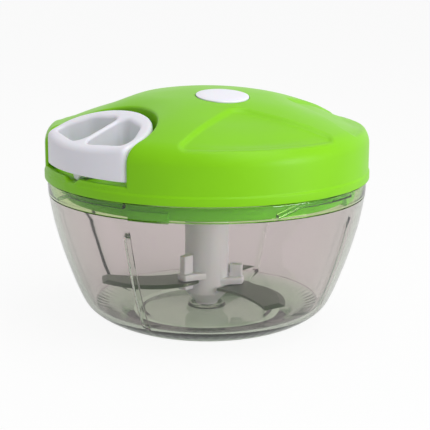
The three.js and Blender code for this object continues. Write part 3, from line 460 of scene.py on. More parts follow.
def pocket_edge(grow):
    """The pocket's edge on the unrolled lid, before it is turned to the handle's azimuth."""
    half, depth, lip = POCKET_HALF + grow, POCKET_DEPTH + grow, LIP_TOP - grow
    skirt_run = lambda z: shoulder_run + FILLET_HEIGHT - z
    side_run = np.linspace(skirt_run(lip), run_at(hypot(POCKET_CENTRE, half)), 30)
    side_angle = np.arcsin(half / np.interp(side_run, lid_run, lid_line[:, 0]))
    side = columns([side_run, side_angle])
    t = np.linspace(pi / 2, 3 * pi / 2, 84)[1:-1]
    x, y = POCKET_CENTRE + depth * np.cos(t), half * np.sin(t)
    end = columns([run_at(np.hypot(x, y)), np.arctan2(y, x)])
    angle = np.linspace(-side_angle[0], side_angle[0], 84)[1:-1]
    dip = GROOVE_DIP * smooth_step((DIP_HALF - np.abs(LID_RADIUS * np.sin(angle))) / DIP_EASE)
    front = columns([skirt_run(lip - dip), angle])
    run, angle = np.concatenate([side, end, (side * [1, -1])[::-1], front]).T
    kinds = np.repeat([SIDE, END, SIDE, FRONT], [len(side), len(end), len(side), len(front)])
    return columns([run * np.cos(angle), run * np.sin(angle)]), kinds


def pocket_plan(grow, reach):
    half, depth = POCKET_HALF + grow, POCKET_DEPTH + grow
    t = np.linspace(pi / 2, 3 * pi / 2, 49)
    curve = [(POCKET_CENTRE + depth * cos(a), half * sin(a)) for a in t]
    return [(reach, -half), (reach, half)] + curve


# The lid's inside, the circle of its screws, and the cap's seat on the dome.
LID_WALL, SKIRT_WALL, HOLLOW_BOTTOM, HOLLOW_STEP = 4.4, 2.1, 58.0, 65.8
POCKET_WALL, POCKET_BOTTOM, POCKET_REACH, POCKET_RIM = 1.8, 64.1, 70.0, 1.0
ARBOR_RADIUS, ARBOR_BOTTOM, JOURNAL_RADIUS, JOURNAL_BOTTOM = 5.6, 75.9, 4.0, 70.6
SCREW_CIRCLE, BOSS_RADIUS, BOSS_BOTTOM, SCREW_HOLE = 46.0, 3.6, 61.9, 1.7
CAP_OFFSET, CAP_SEAT_RADIUS, CAP_SEAT_DEPTH, CAP_HOLE = 17.0, 10.7, 1.0, 2.3
FINE_STEP, FINE_REACH, FILL_CLEAR, LID_SIDES = 0.7, 1.8, 0.45, 240

screw_places = [towards(HANDLE_AZIMUTH + turn) @ Matrix.Translation((SCREW_CIRCLE, 0, 0))
                for turn in (45, 135, 225, 315)]


def on_cap_seat():
    """Where the cap sits on the dome, one panel round from the handle."""
    tilt = asin(CAP_OFFSET / DOME_RADIUS)
    place = Matrix.Translation((CAP_OFFSET, 0, DOME_CENTRE + DOME_RADIUS * cos(tilt)))
    return towards(HANDLE_AZIMUTH + 360 / SECTORS) @ (place @ Matrix.Rotation(tilt, 4, "Y"))


def round_about(radius, angles):
    return radius * columns([np.cos(angles), np.sin(angles)])


def make_lid_cover():
    facing = lambda loop: turn_plan(loop, HANDLE_AZIMUTH)
    edge, kinds = pocket_edge(POCKET_RIM)
    edge = facing(edge)
    all_round = np.linspace(0, 2 * pi, LID_SIDES + 1)[:-1]
    border = round_about(lid_run[-1], all_round)

    # Fine points along the panels' edges and coarse ones elsewhere.
    fill = []
    for row, run in enumerate(np.arange(FINE_STEP, shoulder_run, FINE_STEP)):
        radius = np.interp(run, lid_run, lid_line[:, 0])
        count = 3 * max(2, int(radius * 2 * pi / FINE_STEP / 3))
        angles = (np.arange(count) + (row % 2) / 2) * 2 * pi / count
        near = np.abs(panel_gap(round_about(radius, angles))) < FINE_REACH
        keep = near | ((np.arange(count) % 2 == 0) & (row % 2 == 0))
        fill.append(round_about(run, angles)[keep])
    skirt_heights = [75.0, 73, 71, 69, 67, 65.5]
    for run in [shoulder_run + FILLET_HEIGHT - z for z in skirt_heights] + list(lid_run[dome_count:-1]):
        fill.append(round_about(run, all_round))
    fill = np.concatenate(fill)
    fill = fill[distance_to(fill, edge) > FILL_CLEAR]

    cover = Shell()
    verts, faces = sheet([border, edge], fill)
    cover.add(on_lid(verts), faces.tolist())

    # From the dome round the pocket's rim, down its wall, over the lip, and across its floor.
    rings = []
    for k in range(7):
        beta = pi / 2 * k / 6
        loop, _ = pocket_edge(POCKET_RIM * (1 - sin(beta)))
        rings.append(on_lid(facing(loop), POCKET_RIM * (1 - cos(beta))))
    local = on_lid(facing(pocket_edge(0.0)[0]))
    plan, heights = turn_plan(local[:, :2], 180 - HANDLE_AZIMUTH), local[:, 2]
    radius = np.hypot(*plan.T)
    on_side = (kinds == SIDE) & (radius > LIP_RADIUS)
    plan[on_side, 0] = np.sqrt(LIP_RADIUS ** 2 - plan[on_side, 1] ** 2)
    plan[kinds == FRONT] *= (LIP_RADIUS / radius[kinds == FRONT])[:, None]
    plan = facing(plan)
    upper = np.where(kinds == FRONT, heights, LIP_TOP)
    rings.append(columns([plan, upper]))
    rings.append(columns([plan, np.minimum(upper, POCKET_FLOOR)]))
    count = len(edge)
    middle = facing(np.array([[50.0, 0.0]]))[0]
    points = np.concatenate(rings + [[[*middle, POCKET_FLOOR]]])
    last = (len(rings) - 1) * count
    floor = [[last + i, last + (i + 1) % count, len(points) - 1] for i in range(count)]
    cover.add(points, skin(len(rings), count) + floor)
    below = on_lid(border)
    cover.add(np.concatenate([below, [[0, 0, SKIRT_BOTTOM]]]),
              [[i, (i + 1) % len(below), len(below)] for i in range(len(below))])
    cover = cover.build("lid_cover_shell", 40)

    # The hollow under the dome, less the pocket's box, the arbor and the screw bosses.
    skirt_inside = LID_RADIUS - SKIRT_WALL
    hollow = [(0, HOLLOW_BOTTOM), (skirt_inside, HOLLOW_BOTTOM), (skirt_inside, HOLLOW_STEP),
              (LID_RADIUS - LID_WALL, HOLLOW_STEP)]
    hollow += [tuple(p) for p in dome_profile(LID_WALL, 24, 8)[::-1]]
    hollow[-1] = (0, APEX_HEIGHT - LID_WALL)
    box = prism(pocket_plan(POCKET_WALL, POCKET_REACH), POCKET_BOTTOM, ABOVE_ALL)
    kept = [tool("pocket_box", box, handle_side), tool("arbor", pin(ARBOR_RADIUS, ARBOR_BOTTOM, 97)),
            tool("journal", pin(JOURNAL_RADIUS, JOURNAL_BOTTOM, 78))]
    kept += [tool("boss", pin(BOSS_RADIUS, BOSS_BOTTOM, ABOVE_ALL, 32), place) for place in screw_places]
    void = combine(tool("lid_hollow", turned(hollow, 120)), kept)
    seat = on_cap_seat()
    cord_line = handle_side @ along_x(CORD_HEIGHT)
    cuts = [void, tool("groove", pin(GROOVE_RADIUS, 33.3, 67), cord_line),
            tool("eyelet_hole", pin(2.1, 24, 35.5), cord_line),
            tool("cap_seat", pin(CAP_SEAT_RADIUS, -CAP_SEAT_DEPTH, 2.0, 96), seat),
            tool("cap_hole", pin(CAP_HOLE, -8, 0), seat)]
    return combine(cover, cuts, sharp=40)


# The pull handle: a D-shaped grip with two finger wells and a bar between them.
HANDLE_RADIUS, HANDLE_HALF, HANDLE_DEPTH, HANDLE_CORNER, CORNER_CLEAR = 64.4, 26.5, 17.0, 2.5, 3.2
HANDLE_BOTTOM, HANDLE_FACE_TOP, HANDLE_SLOPE = 68.2, 78.4, 0.40
BAR_HALF, SIDE_RIM, FACE_RIM, END_RIM, WELL_DEPTH = 1.3, 3.6, 3.4, 4.8, 12.2
BORE_RADIUS, KNOT_RADIUS, KNOT_MIDDLE = 1.2, 1.9, 59.0


def handle_outline():
    angle = asin(HANDLE_HALF / HANDLE_RADIUS)
    t = np.linspace(-angle, angle, 40)
    face = [(HANDLE_RADIUS * cos(a), HANDLE_RADIUS * sin(a)) for a in t]
    t = np.linspace(pi / 2, 3 * pi / 2, 60)
    path = face + [(POCKET_CENTRE + HANDLE_DEPTH * cos(a), HANDLE_HALF * sin(a)) for a in t]
    corners = (0, len(face) - 1)
    points, radii = [], []
    for i, point in enumerate(path):
        if not any(0 < dist(point, path[c]) < CORNER_CLEAR for c in corners):
            points.append(point)
            radii.append(HANDLE_CORNER if i in corners else 0.0)
    return rounded(points, radii, 6)


def well_outline():
    """One finger well, on the +Y side of the bar."""
    near, far = BAR_HALF, HANDLE_HALF - SIDE_RIM
    face, end, depth = HANDLE_RADIUS - FACE_RIM, POCKET_CENTRE - HANDLE_DEPTH + END_RIM, WELL_DEPTH
    corners = [(end, near), (face, near), (sqrt(face ** 2 - far ** 2), far), (end + depth, far),
               (end + 0.31 * depth, near + 0.7 * (far - near))]
    return rounded(corners, [3.6, 4.4, 4.6, 7.5, 8.0], 7)


def grip_top(plan):
    """The grip's top: a slope that meets the dome at its sides and inner end."""
    return HANDLE_FACE_TOP + HANDLE_SLOPE * (HANDLE_RADIUS - plan[:, 0])


def make_handle():
    well = well_outline()
    other = [(x, -y) for x, y in well][::-1]
    grip = moulded(handle_outline(), [well, other], grip_top, flat_at(HANDLE_BOTTOM), top_round=(1.8, 1.3),
                   bottom_round=(0.6, 0.5), spacing=0.8)
    handle = Shell().add(grip.points, grip.faces, handle_side).build("handle_grip", 50)
    place = handle_side @ along_x(CORD_HEIGHT)
    ends = rounded([(0, 37.0), (2.4, 37.0), (2.4, 62.5), (0, 62.5)], [0, 0.5, 0.7, 0], 4)
    handle = combine(handle, [tool("handle_boss", turned(ends, 48), place)], "UNION", 50)
    bore = tool("cord_bore", pin(BORE_RADIUS, 30, KNOT_MIDDLE), place)
    room = tool("knot_room", pin(KNOT_RADIUS, 57.1, 60.9), place)
    door = tool("knot_door", pin(KNOT_RADIUS, 63, 68), handle_side @ Matrix.Translation((KNOT_MIDDLE, 0, 0)))
    handle = combine(handle, [bore, room, door], "DIFFERENCE", 50)
    handle.name = "pull_handle_grip"
    return handle


# Node trees, written as short calls.
def wire(tree, kind, inputs=None, **settings):
    """Adds a node, sets it, links or fills its inputs, and gives its outputs."""
    node = tree.nodes.new(kind)
    for key, value in settings.items():
        setattr(node, key, value)
    for key, value in (inputs or {}).items():
        if isinstance(value, bpy.types.NodeSocket):
            tree.links.new(value, node.inputs[key])
        else:
            node.inputs[key].default_value = value
    return node.outputs


def calc(tree, operation, *values):
    return wire(tree, "ShaderNodeMath", dict(enumerate(values)), operation=operation)[0]


def remap(tree, value, low, high, to_low, to_high, **settings):
    """Turns the range from low to high into another."""
    keys = ("Value", "From Min", "From Max", "To Min", "To Max")
    inputs = dict(zip(keys, (value, low, high, to_low, to_high)))
    return wire(tree, "ShaderNodeMapRange", inputs, **settings)[0]


def attribute(tree, name):
    return wire(tree, "GeometryNodeInputNamedAttribute", {"Name": name}, data_type="FLOAT")[0]


def object_place(tree):
    return wire(tree, "ShaderNodeTexCoord")["Object"]


def new_tree(name, kind, inputs, outputs):
    """A node group whose sockets are numbers with their defaults, or geometry where there is none."""
    tree = bpy.data.node_groups.new(name, kind)
    for direction, sockets in (("INPUT", inputs), ("OUTPUT", outputs)):
        for key, value in sockets.items():
            socket = "NodeSocketGeometry" if value is None else "NodeSocketFloat"
            made = tree.interface.new_socket(key, in_out=direction, socket_type=socket)
            if value is not None:
                made.default_value = value
    return tree, tree.nodes.new("NodeGroupInput").outputs, tree.nodes.new("NodeGroupOutput")


def run_tree(piece, tree):
    """Bakes a Geometry Nodes tree into a piece's mesh."""
    name = piece.name
    step = piece.modifiers.new("rule", "NODES")
    step.node_group = tree
    piece.name = "raw_" + name
    return evaluated_copy(piece, name)


def arc_bar(inner, outer, stations, thickness, steps=12, round_by=0.35):
    """A bar bent round the axis through stations of (azimuth, height of its underside)."""
    section = rounded([(inner, 0), (outer, 0), (outer, thickness), (inner, thickness)], round_by, 3)
    rings = []
    for (a0, z0), (a1, z1) in zip(stations, stations[1:]):
        last = (a1, z1) == stations[-1]
        for k in range(steps + (1 if last else 0)):
            share = k / steps
            angle = radians(a0 + (a1 - a0) * share)
            base = z0 + (z1 - z0) * share
            rings.append([(r * sin(angle), -r * cos(angle), base + z) for r, z in section])
    return loft(rings)


# The bowl: a clear moulding with a thick foot, four inner ribs and a knurled grip round its foot.
BOWL_WALL, FLOOR_HEIGHT, FLOOR_RADIUS, FOOT_RADIUS = 2.2, 6.5, 36.0, 30.3
NECK_RADIUS, NECK_INNER, NECK_TOP, SHOULDER_HEIGHT = 62.3, 60.8, 62.1, 60.6
BOWL_WALL_SHARES = [(0.546, 0.02), (0.63, 0.055), (0.71, 0.105), (0.772, 0.17), (0.818, 0.27), (0.869, 0.42),
                    (0.922, 0.6), (0.969, 0.8), (1.0, 1.0)]
RIB_AZIMUTH, RIB_HALF, RIB_EDGE, RIB_DEPTH = -28.0, 1.2, 0.7, 1.2
RIB_TOP, RIB_TOP_FADE, RIB_FOOT_REACH, RIB_FOOT_FADE = 50.0, 4.0, 40.5, 3.0
KNURL_COUNT, KNURL_DEPTH, KNURL_BOTTOM, KNURL_TOP, KNURL_FADE = 72.0, 0.14, 3.6, 6.8, 0.8
RIB_SPREAD, RIB_STEP, PLAIN_STEP = 2.4, 0.2, 0.75


def bowl_wall(count=72):
    """Points evenly spaced up the wall's outside, and their tangents."""
    shares = [(r * BAND_RADIUS, z * BAND_HEIGHT) for r, z in BOWL_WALL_SHARES]
    through = np.array([(FOOT_RADIUS, 0.0)] + shares)
    ends = np.vstack([through[:1], through, through[-1:]])
    dense = []
    for p0, p1, p2, p3 in zip(ends, ends[1:], ends[2:], ends[3:]):
        v0, v1 = (p2 - p0) / 2, (p3 - p1) / 2
        cubic, square = 2 * p1 - 2 * p2 + v0 + v1, 3 * p2 - 3 * p1 - 2 * v0 - v1
        for t in np.linspace(0, 1, 40, endpoint=False):
            dense.append(cubic * t ** 3 + square * t ** 2 + v0 * t + p1)
    dense = np.array(dense + [through[-1]])
    run = run_along(dense)
    at = np.linspace(0, run[-1], count)
    wall = columns([np.interp(at, run, dense[:, k]) for k in (0, 1)])
    return wall, unit(np.gradient(wall, at, axis=0))


def bowl_rule():
    """Ribs that stand in from the wall and a knurl that is sunk into the foot's side."""
    tree, sizes, leave = new_tree("bowl_ribs", "GeometryNodeTree", {
        "Geometry": None, "Rib Depth": RIB_DEPTH * MM, "Rib Half Width": RIB_HALF * MM,
        "Rib Edge": RIB_EDGE * MM, "Rib Azimuth": radians(RIB_AZIMUTH),
        "Knurl Depth": KNURL_DEPTH * MM, "Knurl Count": KNURL_COUNT}, {"Geometry": None})
    times = lambda a, b: calc(tree, "MULTIPLY", a, b)
    less = lambda a, b: calc(tree, "SUBTRACT", a, b)
    place = wire(tree, "GeometryNodeInputPosition")[0]
    x, y, _ = wire(tree, "ShaderNodeSeparateXYZ", {0: place})
    azimuth = calc(tree, "ARCTAN2", x, times(y, -1.0))
    reach = calc(tree, "SQRT", calc(tree, "ADD", times(x, x), times(y, y)))
    about = calc(tree, "WRAP", less(azimuth, sizes["Rib Azimuth"]), pi / 4, -pi / 4)
    aside = times(calc(tree, "ABSOLUTE", calc(tree, "SINE", about)), reach)
    half_edge = times(sizes["Rib Edge"], 0.5)
    start = less(sizes["Rib Half Width"], half_edge)
    end = calc(tree, "ADD", sizes["Rib Half Width"], half_edge)
    pulse = remap(tree, aside, start, end, 1.0, 0.0, interpolation_type="SMOOTHSTEP")
    rib = times(times(pulse, attribute(tree, "rib_mask")), sizes["Rib Depth"])
    wave = times(less(calc(tree, "COSINE", times(azimuth, sizes["Knurl Count"])), 1.0), 0.5)
    knurl = times(times(wave, attribute(tree, "knurl_mask")), sizes["Knurl Depth"])
    normal = wire(tree, "GeometryNodeInputNormal")[0]
    height = calc(tree, "ADD", rib, knurl)
    offset = wire(tree, "ShaderNodeVectorMath", {0: normal, "Scale": height}, operation="SCALE")[0]
    moved = wire(tree, "GeometryNodeSetPosition", {"Geometry": sizes["Geometry"], "Offset": offset})
    tree.links.new(moved[0], leave.inputs["Geometry"])
    return tree


def make_bowl():
    wall, ahead = bowl_wall()
    within = wall + BOWL_WALL * columns([-ahead[:, 1], ahead[:, 0]])
    within = within[(within[:, 1] > FLOOR_HEIGHT + BOWL_WALL) & (within[:, 1] < BAND_HEIGHT - BOWL_WALL)]
    outside = [(0, 1.5)] + rounded([(0, 1.5), (25.7, 1.5), (27.2, 0), (FOOT_RADIUS, 0), tuple(wall[2])],
                                   [0, 0.5, 0.5, 0.6, 0], 4, closed=False)[1:-1]
    outside += [tuple(p) for p in wall[2:]]
    corners = [(BAND_RADIUS, BAND_HEIGHT), (BAND_RADIUS - 0.3, BAND_HEIGHT + 0.15),
               (BAND_RADIUS + 0.1, BAND_HEIGHT + 0.5), (64.3, SHOULDER_HEIGHT),
               (NECK_RADIUS, SHOULDER_HEIGHT), (NECK_RADIUS, NECK_TOP), (NECK_INNER, NECK_TOP),
               (NECK_INNER, 60.0), (62.1, 60.0), (61.8, BAND_HEIGHT)]
    neck = rounded(corners, [0, 0, 0, 0.5, 0.2, 0.3, 0.3, 0.15, 0.2, 0], 3, closed=False)[1:]
    floor = rounded([tuple(within[1]), tuple(within[0]), (FLOOR_RADIUS, FLOOR_HEIGHT), (30, FLOOR_HEIGHT)],
                    [0, 2.0, 9.0, 0], 6, closed=False)[1:-1]
    floor += [(r, FLOOR_HEIGHT) for r in np.linspace(30, 8.6, 5)]
    corners = [(8.6, FLOOR_HEIGHT), (7.6, FLOOR_HEIGHT), (7.6, 7.5), (6.2, 7.5), (6.2, FLOOR_HEIGHT),
               (2.7, FLOOR_HEIGHT), (2.7, 2.6), (0, 2.6)]
    floor += rounded(corners, [0, 0.3, 0.3, 0.3, 0.3, 0.2, 0, 0], 3, closed=False)[1:]
    profile = outside + neck + [tuple(p) for p in within[::-1]] + floor
    angles = set(np.round(np.arange(0, 360, PLAIN_STEP), 3))
    for k in range(4):
        middle = RIB_AZIMUTH + 90 * k - 90
        angles |= set(np.round(np.arange(middle - RIB_SPREAD, middle + RIB_SPREAD, RIB_STEP) % 360, 3))
    angles = sorted(radians(a) for a in angles)
    bowl = Shell().add(*turned(profile, 0, angles)).build("bowl_wall", 30)
    mesh = bowl.data
    at = np.empty(len(mesh.vertices) * 3)
    mesh.vertices.foreach_get("co", at)
    at = at.reshape(-1, 3) / MM
    reach, height = np.hypot(at[:, 0], at[:, 1]), at[:, 2]
    outer = np.interp(height, wall[:, 1], wall[:, 0])
    within_wall = (reach < outer - BOWL_WALL * 0.6) & (height > FLOOR_HEIGHT + 0.6)
    rib = within_wall * smooth_step((RIB_TOP - height) / RIB_TOP_FADE)
    rib = rib * smooth_step((reach - RIB_FOOT_REACH) / RIB_FOOT_FADE)
    knurl = smooth_step((height - KNURL_BOTTOM) / KNURL_FADE) * smooth_step((KNURL_TOP - height) / KNURL_FADE)
    knurl = (reach > outer - 0.5) * knurl
    for key, values in (("rib_mask", rib), ("knurl_mask", knurl)):
        mesh.attributes.new(key, "FLOAT", "POINT").data.foreach_set("value", values.astype(np.float32))
    bowl = run_tree(bowl, bowl_rule())
    ramps = []
    for k in range(4):
        stations = [(25 + 90 * k, 55.0), (34 + 90 * k, 58.0), (61 + 90 * k, 58.0)]
        ramps.append(tool("ramp", arc_bar(59.7, 63.2, stations, 1.4)))
    return combine(bowl, ramps, "UNION", 30)


def make_lid_base():
    corners = [(9.5, 57.0), (11.2, 57.0), (11.2, 60.2), (56.6, 60.2), (56.6, 54.4), (59.2, 54.4),
               (59.2, 60.2), (58.0, 60.2), (58.0, 62.5), (62.6, 62.5), (62.6, 63.8), (55.3, 63.8),
               (55.3, 61.6), (9.5, 61.6)]
    radii = [0.4, 0.4, 0.5, 0.5, 0.5, 0.6, 0.25, 0.1, 0.2, 0.3, 0.3, 0.3, 0.3, 0.3]
    base = lathe("lid_base_ring", rounded(corners, radii, 4), 240, 30)
    lugs = []
    for k in range(4):
        stations = [(62 + 90 * k, 53.6), (77 + 90 * k, 53.6)]
        lugs.append(tool("lug", arc_bar(58.0, 60.3, stations, 3.8, 16, 0.5)))
    base = combine(base, lugs, "UNION")
    cuts = [tool("window", arc_bar(58.6, 61.2, [(40, 57.7), (52, 57.7)], 2.2, 16, 0.2))]
    cuts += [tool("screw_hole", pin(SCREW_HOLE, 58.2, 63.6, 24), place) for place in screw_places]
    return combine(base, cuts, sharp=30)


def make_cap():
    crown = [(9.2 * sin(a), 0.2 + 0.35 * cos(a)) for a in np.linspace(0, pi / 2, 8)]
    profile = rounded([(0, -4.3), (2.0, -4.3), (2.0, -0.7), (10.4, -0.7), (10.4, 0.0), (9.8, 0.2)],
                      [0, 0.4, 0.2, 0.2, 0.3, 0], 4, closed=False) + crown[::-1]
    return lathe("cap_disc", profile, 120, 30, on_cap_seat())


def make_seal():
    corners = [(58.3, 60.5), (60.2, 60.5), (60.5, 61.35), (60.2, 62.2), (58.3, 62.2)]
    return lathe("seal_lip", rounded(corners, [0.3, 0.3, 0.2, 0.3, 0.3], 3), 240, 30)


# The cutter: a shaft with three tapered arms and posts, and three sickle blades pinned under the arms.
ARM_AZIMUTHS = [-41.0, 79.0, 199.0]
ARM_LEVELS = [19.2, 16.2, 13.2]
ARM_THICKNESS, ARM_ROOT, ARM_END, ARM_ROOT_HALF, ARM_TIP_HALF = 2.8, 5.7, 15.4, 6.3, 2.2
POST_RISE = [7.3, 5.2, 5.2]
COLUMN_RADIUS, COLUMN_TOP, HEX_WIDTH = 9.0, 59.6, 12.4
BLADE_THICKNESS, BLADE_HALF, BLADE_GAP = 1.0, 4.2, 0.3
GROUND_WIDTH, EDGE_LAND = 2.4, 0.12
LEVEL_NAMES = ["upper", "middle", "lower"]


def box_form(x0, x1, half, z0, z1, round_by):
    """A bar with rounded upright edges and softened ends."""
    plan = rounded([(x0, -half), (x1, -half), (x1, half), (x0, half)], round_by, 3)
    middle = (x0 + x1) / 2
    shrink = lambda by: [(x - copysign(by, x - middle), y - copysign(by, y)) for x, y in plan]
    soft = round_by * 0.6
    slight = soft * 0.3
    levels = [(soft, z0), (slight, z0 + slight), (0, z0 + soft)]
    levels += [(0, z1 - soft), (slight, z1 - slight), (soft, z1)]
    return loft([[(x, y, z) for x, y in shrink(by)] for by, z in levels])


def make_shaft():
    corners = [(0, 7.3), (4.6, 7.3), (4.6, 8.1), (COLUMN_RADIUS, 12.5), (COLUMN_RADIUS, 51.5), (8.6, 51.9),
               (8.6, COLUMN_TOP), (0, COLUMN_TOP)]
    profile = rounded(corners, [0, 0.3, 0.5, 1.5, 0.2, 0.2, 0.6, 0], 5, closed=False)
    shaft = lathe("cutter_column", profile, 120, 30)
    parts = []
    for azimuth, level, rise in zip(ARM_AZIMUTHS, ARM_LEVELS, POST_RISE):
        place = towards(azimuth) @ Matrix.Translation((0, 0, level))
        corners = [(ARM_ROOT, -ARM_ROOT_HALF), (ARM_END, -ARM_TIP_HALF), (ARM_END, ARM_TIP_HALF),
                   (ARM_ROOT, ARM_ROOT_HALF)]
        plan = rounded(corners, [0.3, 0.7, 0.7, 0.3], 4)
        arm = moulded(plan, [], flat_at(ARM_THICKNESS), flat_at(0), top_round=(0.5, 0), bottom_round=(0.3, 0),
                      spacing=0.5, steps=3)
        parts.append(Shell().add(arm.points, arm.faces, place).build("arm"))
        parts.append(tool("post", box_form(9.8, 14.9, 1.45, 1.0, ARM_THICKNESS + rise, 0.45), place))
    corner = HEX_WIDTH / sqrt(3)
    sixths = [i * pi / 3 for i in range(6)]
    hexagon = rounded([(corner * cos(a), corner * sin(a)) for a in sixths], 0.4, 3)
    drive = loft([[(x * s, y * s, z) for x, y in hexagon] for s, z in ((1, 57.6), (1, 66.4), (0.93, 67))])
    parts.append(tool("drive", drive))
    shaft = combine(shaft, parts, "UNION", 30)
    return combine(shaft, [tool("pin_bore", pin(2.9, 5.3, 25.5))], sharp=30)


def bend(start, pull, end):
    """Points of a curve from start to end that is drawn towards a third point."""
    start, pull, end = np.array([start, pull, end])
    share = np.linspace(0, 1, 49)[:, None]
    return (1 - share) ** 2 * start + 2 * share * (1 - share) * pull + share ** 2 * end


def make_blade(azimuth, level, name):
    """A flat crescent under the arm, ground from above along its leading edge and its tip."""
    front = bend((15.5, BLADE_HALF), (34.8, -0.87), (35.65, -24.96))
    back = bend((29.12, -32.34), (19.58, -13.06), (6.03, -9.45))
    outline = np.vstack([front, back, [(9.5, -BLADE_HALF), (9.5, BLADE_HALF)]])
    place = towards(azimuth) @ Matrix.Translation((0, 0, level - BLADE_GAP))
    blade = tool(name, prism(outline, -BLADE_THICKNESS, 0), place)
    path = np.vstack([front, np.linspace(front[-1], back[0], 10)[1:]])
    ahead = unit(np.gradient(path, axis=0))
    path = np.vstack([path, path[-1:] + ahead[-1:]])
    ahead = np.vstack([ahead, ahead[-1:]])
    rings = []
    for i, (at, way) in enumerate(zip(path, ahead)):
        width = max(0.05, GROUND_WIDTH * float(smooth_step(i / 8)))
        inward = np.array([way[1], -way[0]])
        slope = (BLADE_THICKNESS - EDGE_LAND) / width
        section = [(width, 0), (-0.6, -slope * (width + 0.6)), (-0.6, 1.0), (width, 1.0)]
        rings.append([(*(at + inward * s), z) for s, z in section])
    cuts = [tool("grind", loft(rings), place),
            tool("hole", prism([(11.0, -1.4), (14.8, -1.4), (14.8, 1.4), (11.0, 1.4)], -4, 3), place)]
    return combine(blade, cuts, sharp=12)


def make_peg(azimuth, level, name):
    """A peg pressed up into the arm, with its head under the blade."""
    place = towards(azimuth) @ Matrix.Translation((0, 0, level))
    head = tool(name, box_form(10.5, 15.2, 2.1, -3.6, -1.6, 0.4), place)
    stem = tool("stem", box_form(11.3, 14.4, 1.1, -2.6, 1.6, 0.2), place)
    return combine(head, [stem], "UNION", 30)


def tube(path, radius, sides=12):
    """A round tube along a path of points."""
    path = [Vector(p) for p in path]
    around = [2 * pi * k / sides for k in range(sides)]
    rings, side = [], None
    for i, at in enumerate(path):
        ahead = (path[min(i + 1, len(path) - 1)] - path[max(i - 1, 0)]).normalized()
        side = (side - ahead * side.dot(ahead)).normalized() if side else ahead.orthogonal().normalized()
        other = ahead.cross(side)
        rings.append([at + radius * (cos(a) * side + sin(a) * other) for a in around])
    return loft(rings)


# Materials.
def in_scene_colour(code):
    """Linear colour from an sRGB one given as 0 to 255 values."""
    linear = lambda v: ((v + 0.055) / 1.055) ** 2.4 if v > 0.04045 else v / 12.92
    return tuple(linear(v / 255) for v in code) + (1.0,)


def moulded_surface_group():
    """Faint flow marks, wear and grain of a moulded surface, as masks."""
    tree, of, leave = new_tree("moulded_surface", "ShaderNodeTree", {
        "Mark Scale": 60.0, "Grain Scale": 1800.0, "Low": 0.25, "High": 0.4},
        {"Roughness": 0.0, "Shade": 0.0, "Height": 0.0})
    place = object_place(tree)
    marks = wire(tree, "ShaderNodeTexNoise", {"Vector": place, "Scale": of["Mark Scale"], "Detail": 3.0,
                 "Roughness": 0.55})[0]
    grain = wire(tree, "ShaderNodeTexNoise", {"Vector": place, "Scale": of["Grain Scale"], "Detail": 1.0})
    rough = remap(tree, marks, 0.3, 0.7, of["Low"], of["High"])
    shade = remap(tree, marks, 0.3, 0.7, 0.985, 1.015)
    tree.links.new(rough, leave.inputs["Roughness"])
    tree.links.new(shade, leave.inputs["Shade"])
    tree.links.new(grain[0], leave.inputs["Height"])
    return tree


moulded_surface = moulded_surface_group()
PLASTIC_IOR = 1.49
# The walls' pink tint is partly the plastic's own and partly painted shade, for dim surroundings seen through
# the bowl.
WALL_TINT_AND_PAINTED_SHADE, FOOT_TINT_PAINTED_LID_LIGHT, RIM_TINT = (0.925, 0.808, 0.868, 1), (1.0, 1.0, 0.94, 1), (0.78, 0.93, 0.48, 1)
# The smoke absorption is partly the plastic's own and partly painted shade, darkening the bowl as dim
# surroundings would.
SHADOW_TINT, SMOKE_AND_PAINTED_SHADE, SMOKE_AND_SHADE_DENSITY = (0.93, 0.92, 0.92, 1), (0.353, 0.56, 0.307, 1), 120.0
# Painted reflection: the steel's base is a dark green, standing in for the shaded green lid that the blades
# mirror.
STEEL_WITH_PAINTED_LID_REFLECTION = (0.13, 0.16, 0.11, 1)


def new_material(name):
    material = bpy.data.materials.new(name)
    material.use_nodes = True
    tree = material.node_tree
    tree.nodes.clear()
    return material, tree, tree.nodes.new("ShaderNodeOutputMaterial")


def mixed(tree, share, first, second, **settings):
    """One colour mixed with another."""
    inputs = {"Factor": share, 6: first, 7: second}
    return wire(tree, "ShaderNodeMix", inputs, data_type="RGBA", **settings)[2]


def mixed_shader(tree, share, first, second):
    return wire(tree, "ShaderNodeMixShader", {0: share, 1: first[0], 2: second[0]})[0]


def principled(tree, colour, roughness, **rest):
    """The main shader; the rest are named as its inputs are, with _ for each space."""
    inputs = {"Base Color": colour, "Roughness": roughness}
    inputs.update({key.replace("_", " "): value for key, value in rest.items()})
    return wire(tree, "ShaderNodeBsdfPrincipled", inputs)


def moulded_look(tree, low, high):
    """The moulded surface's group in a material, with its roughness between two values."""
    return wire(tree, "ShaderNodeGroup", {"Low": low, "High": high}, node_tree=moulded_surface)


def plastic(name, code, low, high, subsurface=0.0, ior=PLASTIC_IOR):
    material, tree, out = new_material(name)
    group = moulded_look(tree, low, high)
    shade = mixed(tree, 1.0, in_scene_colour(code), group["Shade"], blend_type="MULTIPLY")
    grain = group["Height"]
    bump = wire(tree, "ShaderNodeBump", {"Height": grain, "Distance": 0.00005, "Strength": 0.02})[0]
    surface = principled(tree, shade, group["Roughness"], Normal=bump, IOR=ior,
                         Subsurface_Weight=subsurface, Subsurface_Scale=0.002)
    tree.links.new(surface[0], out.inputs[0])
    return material


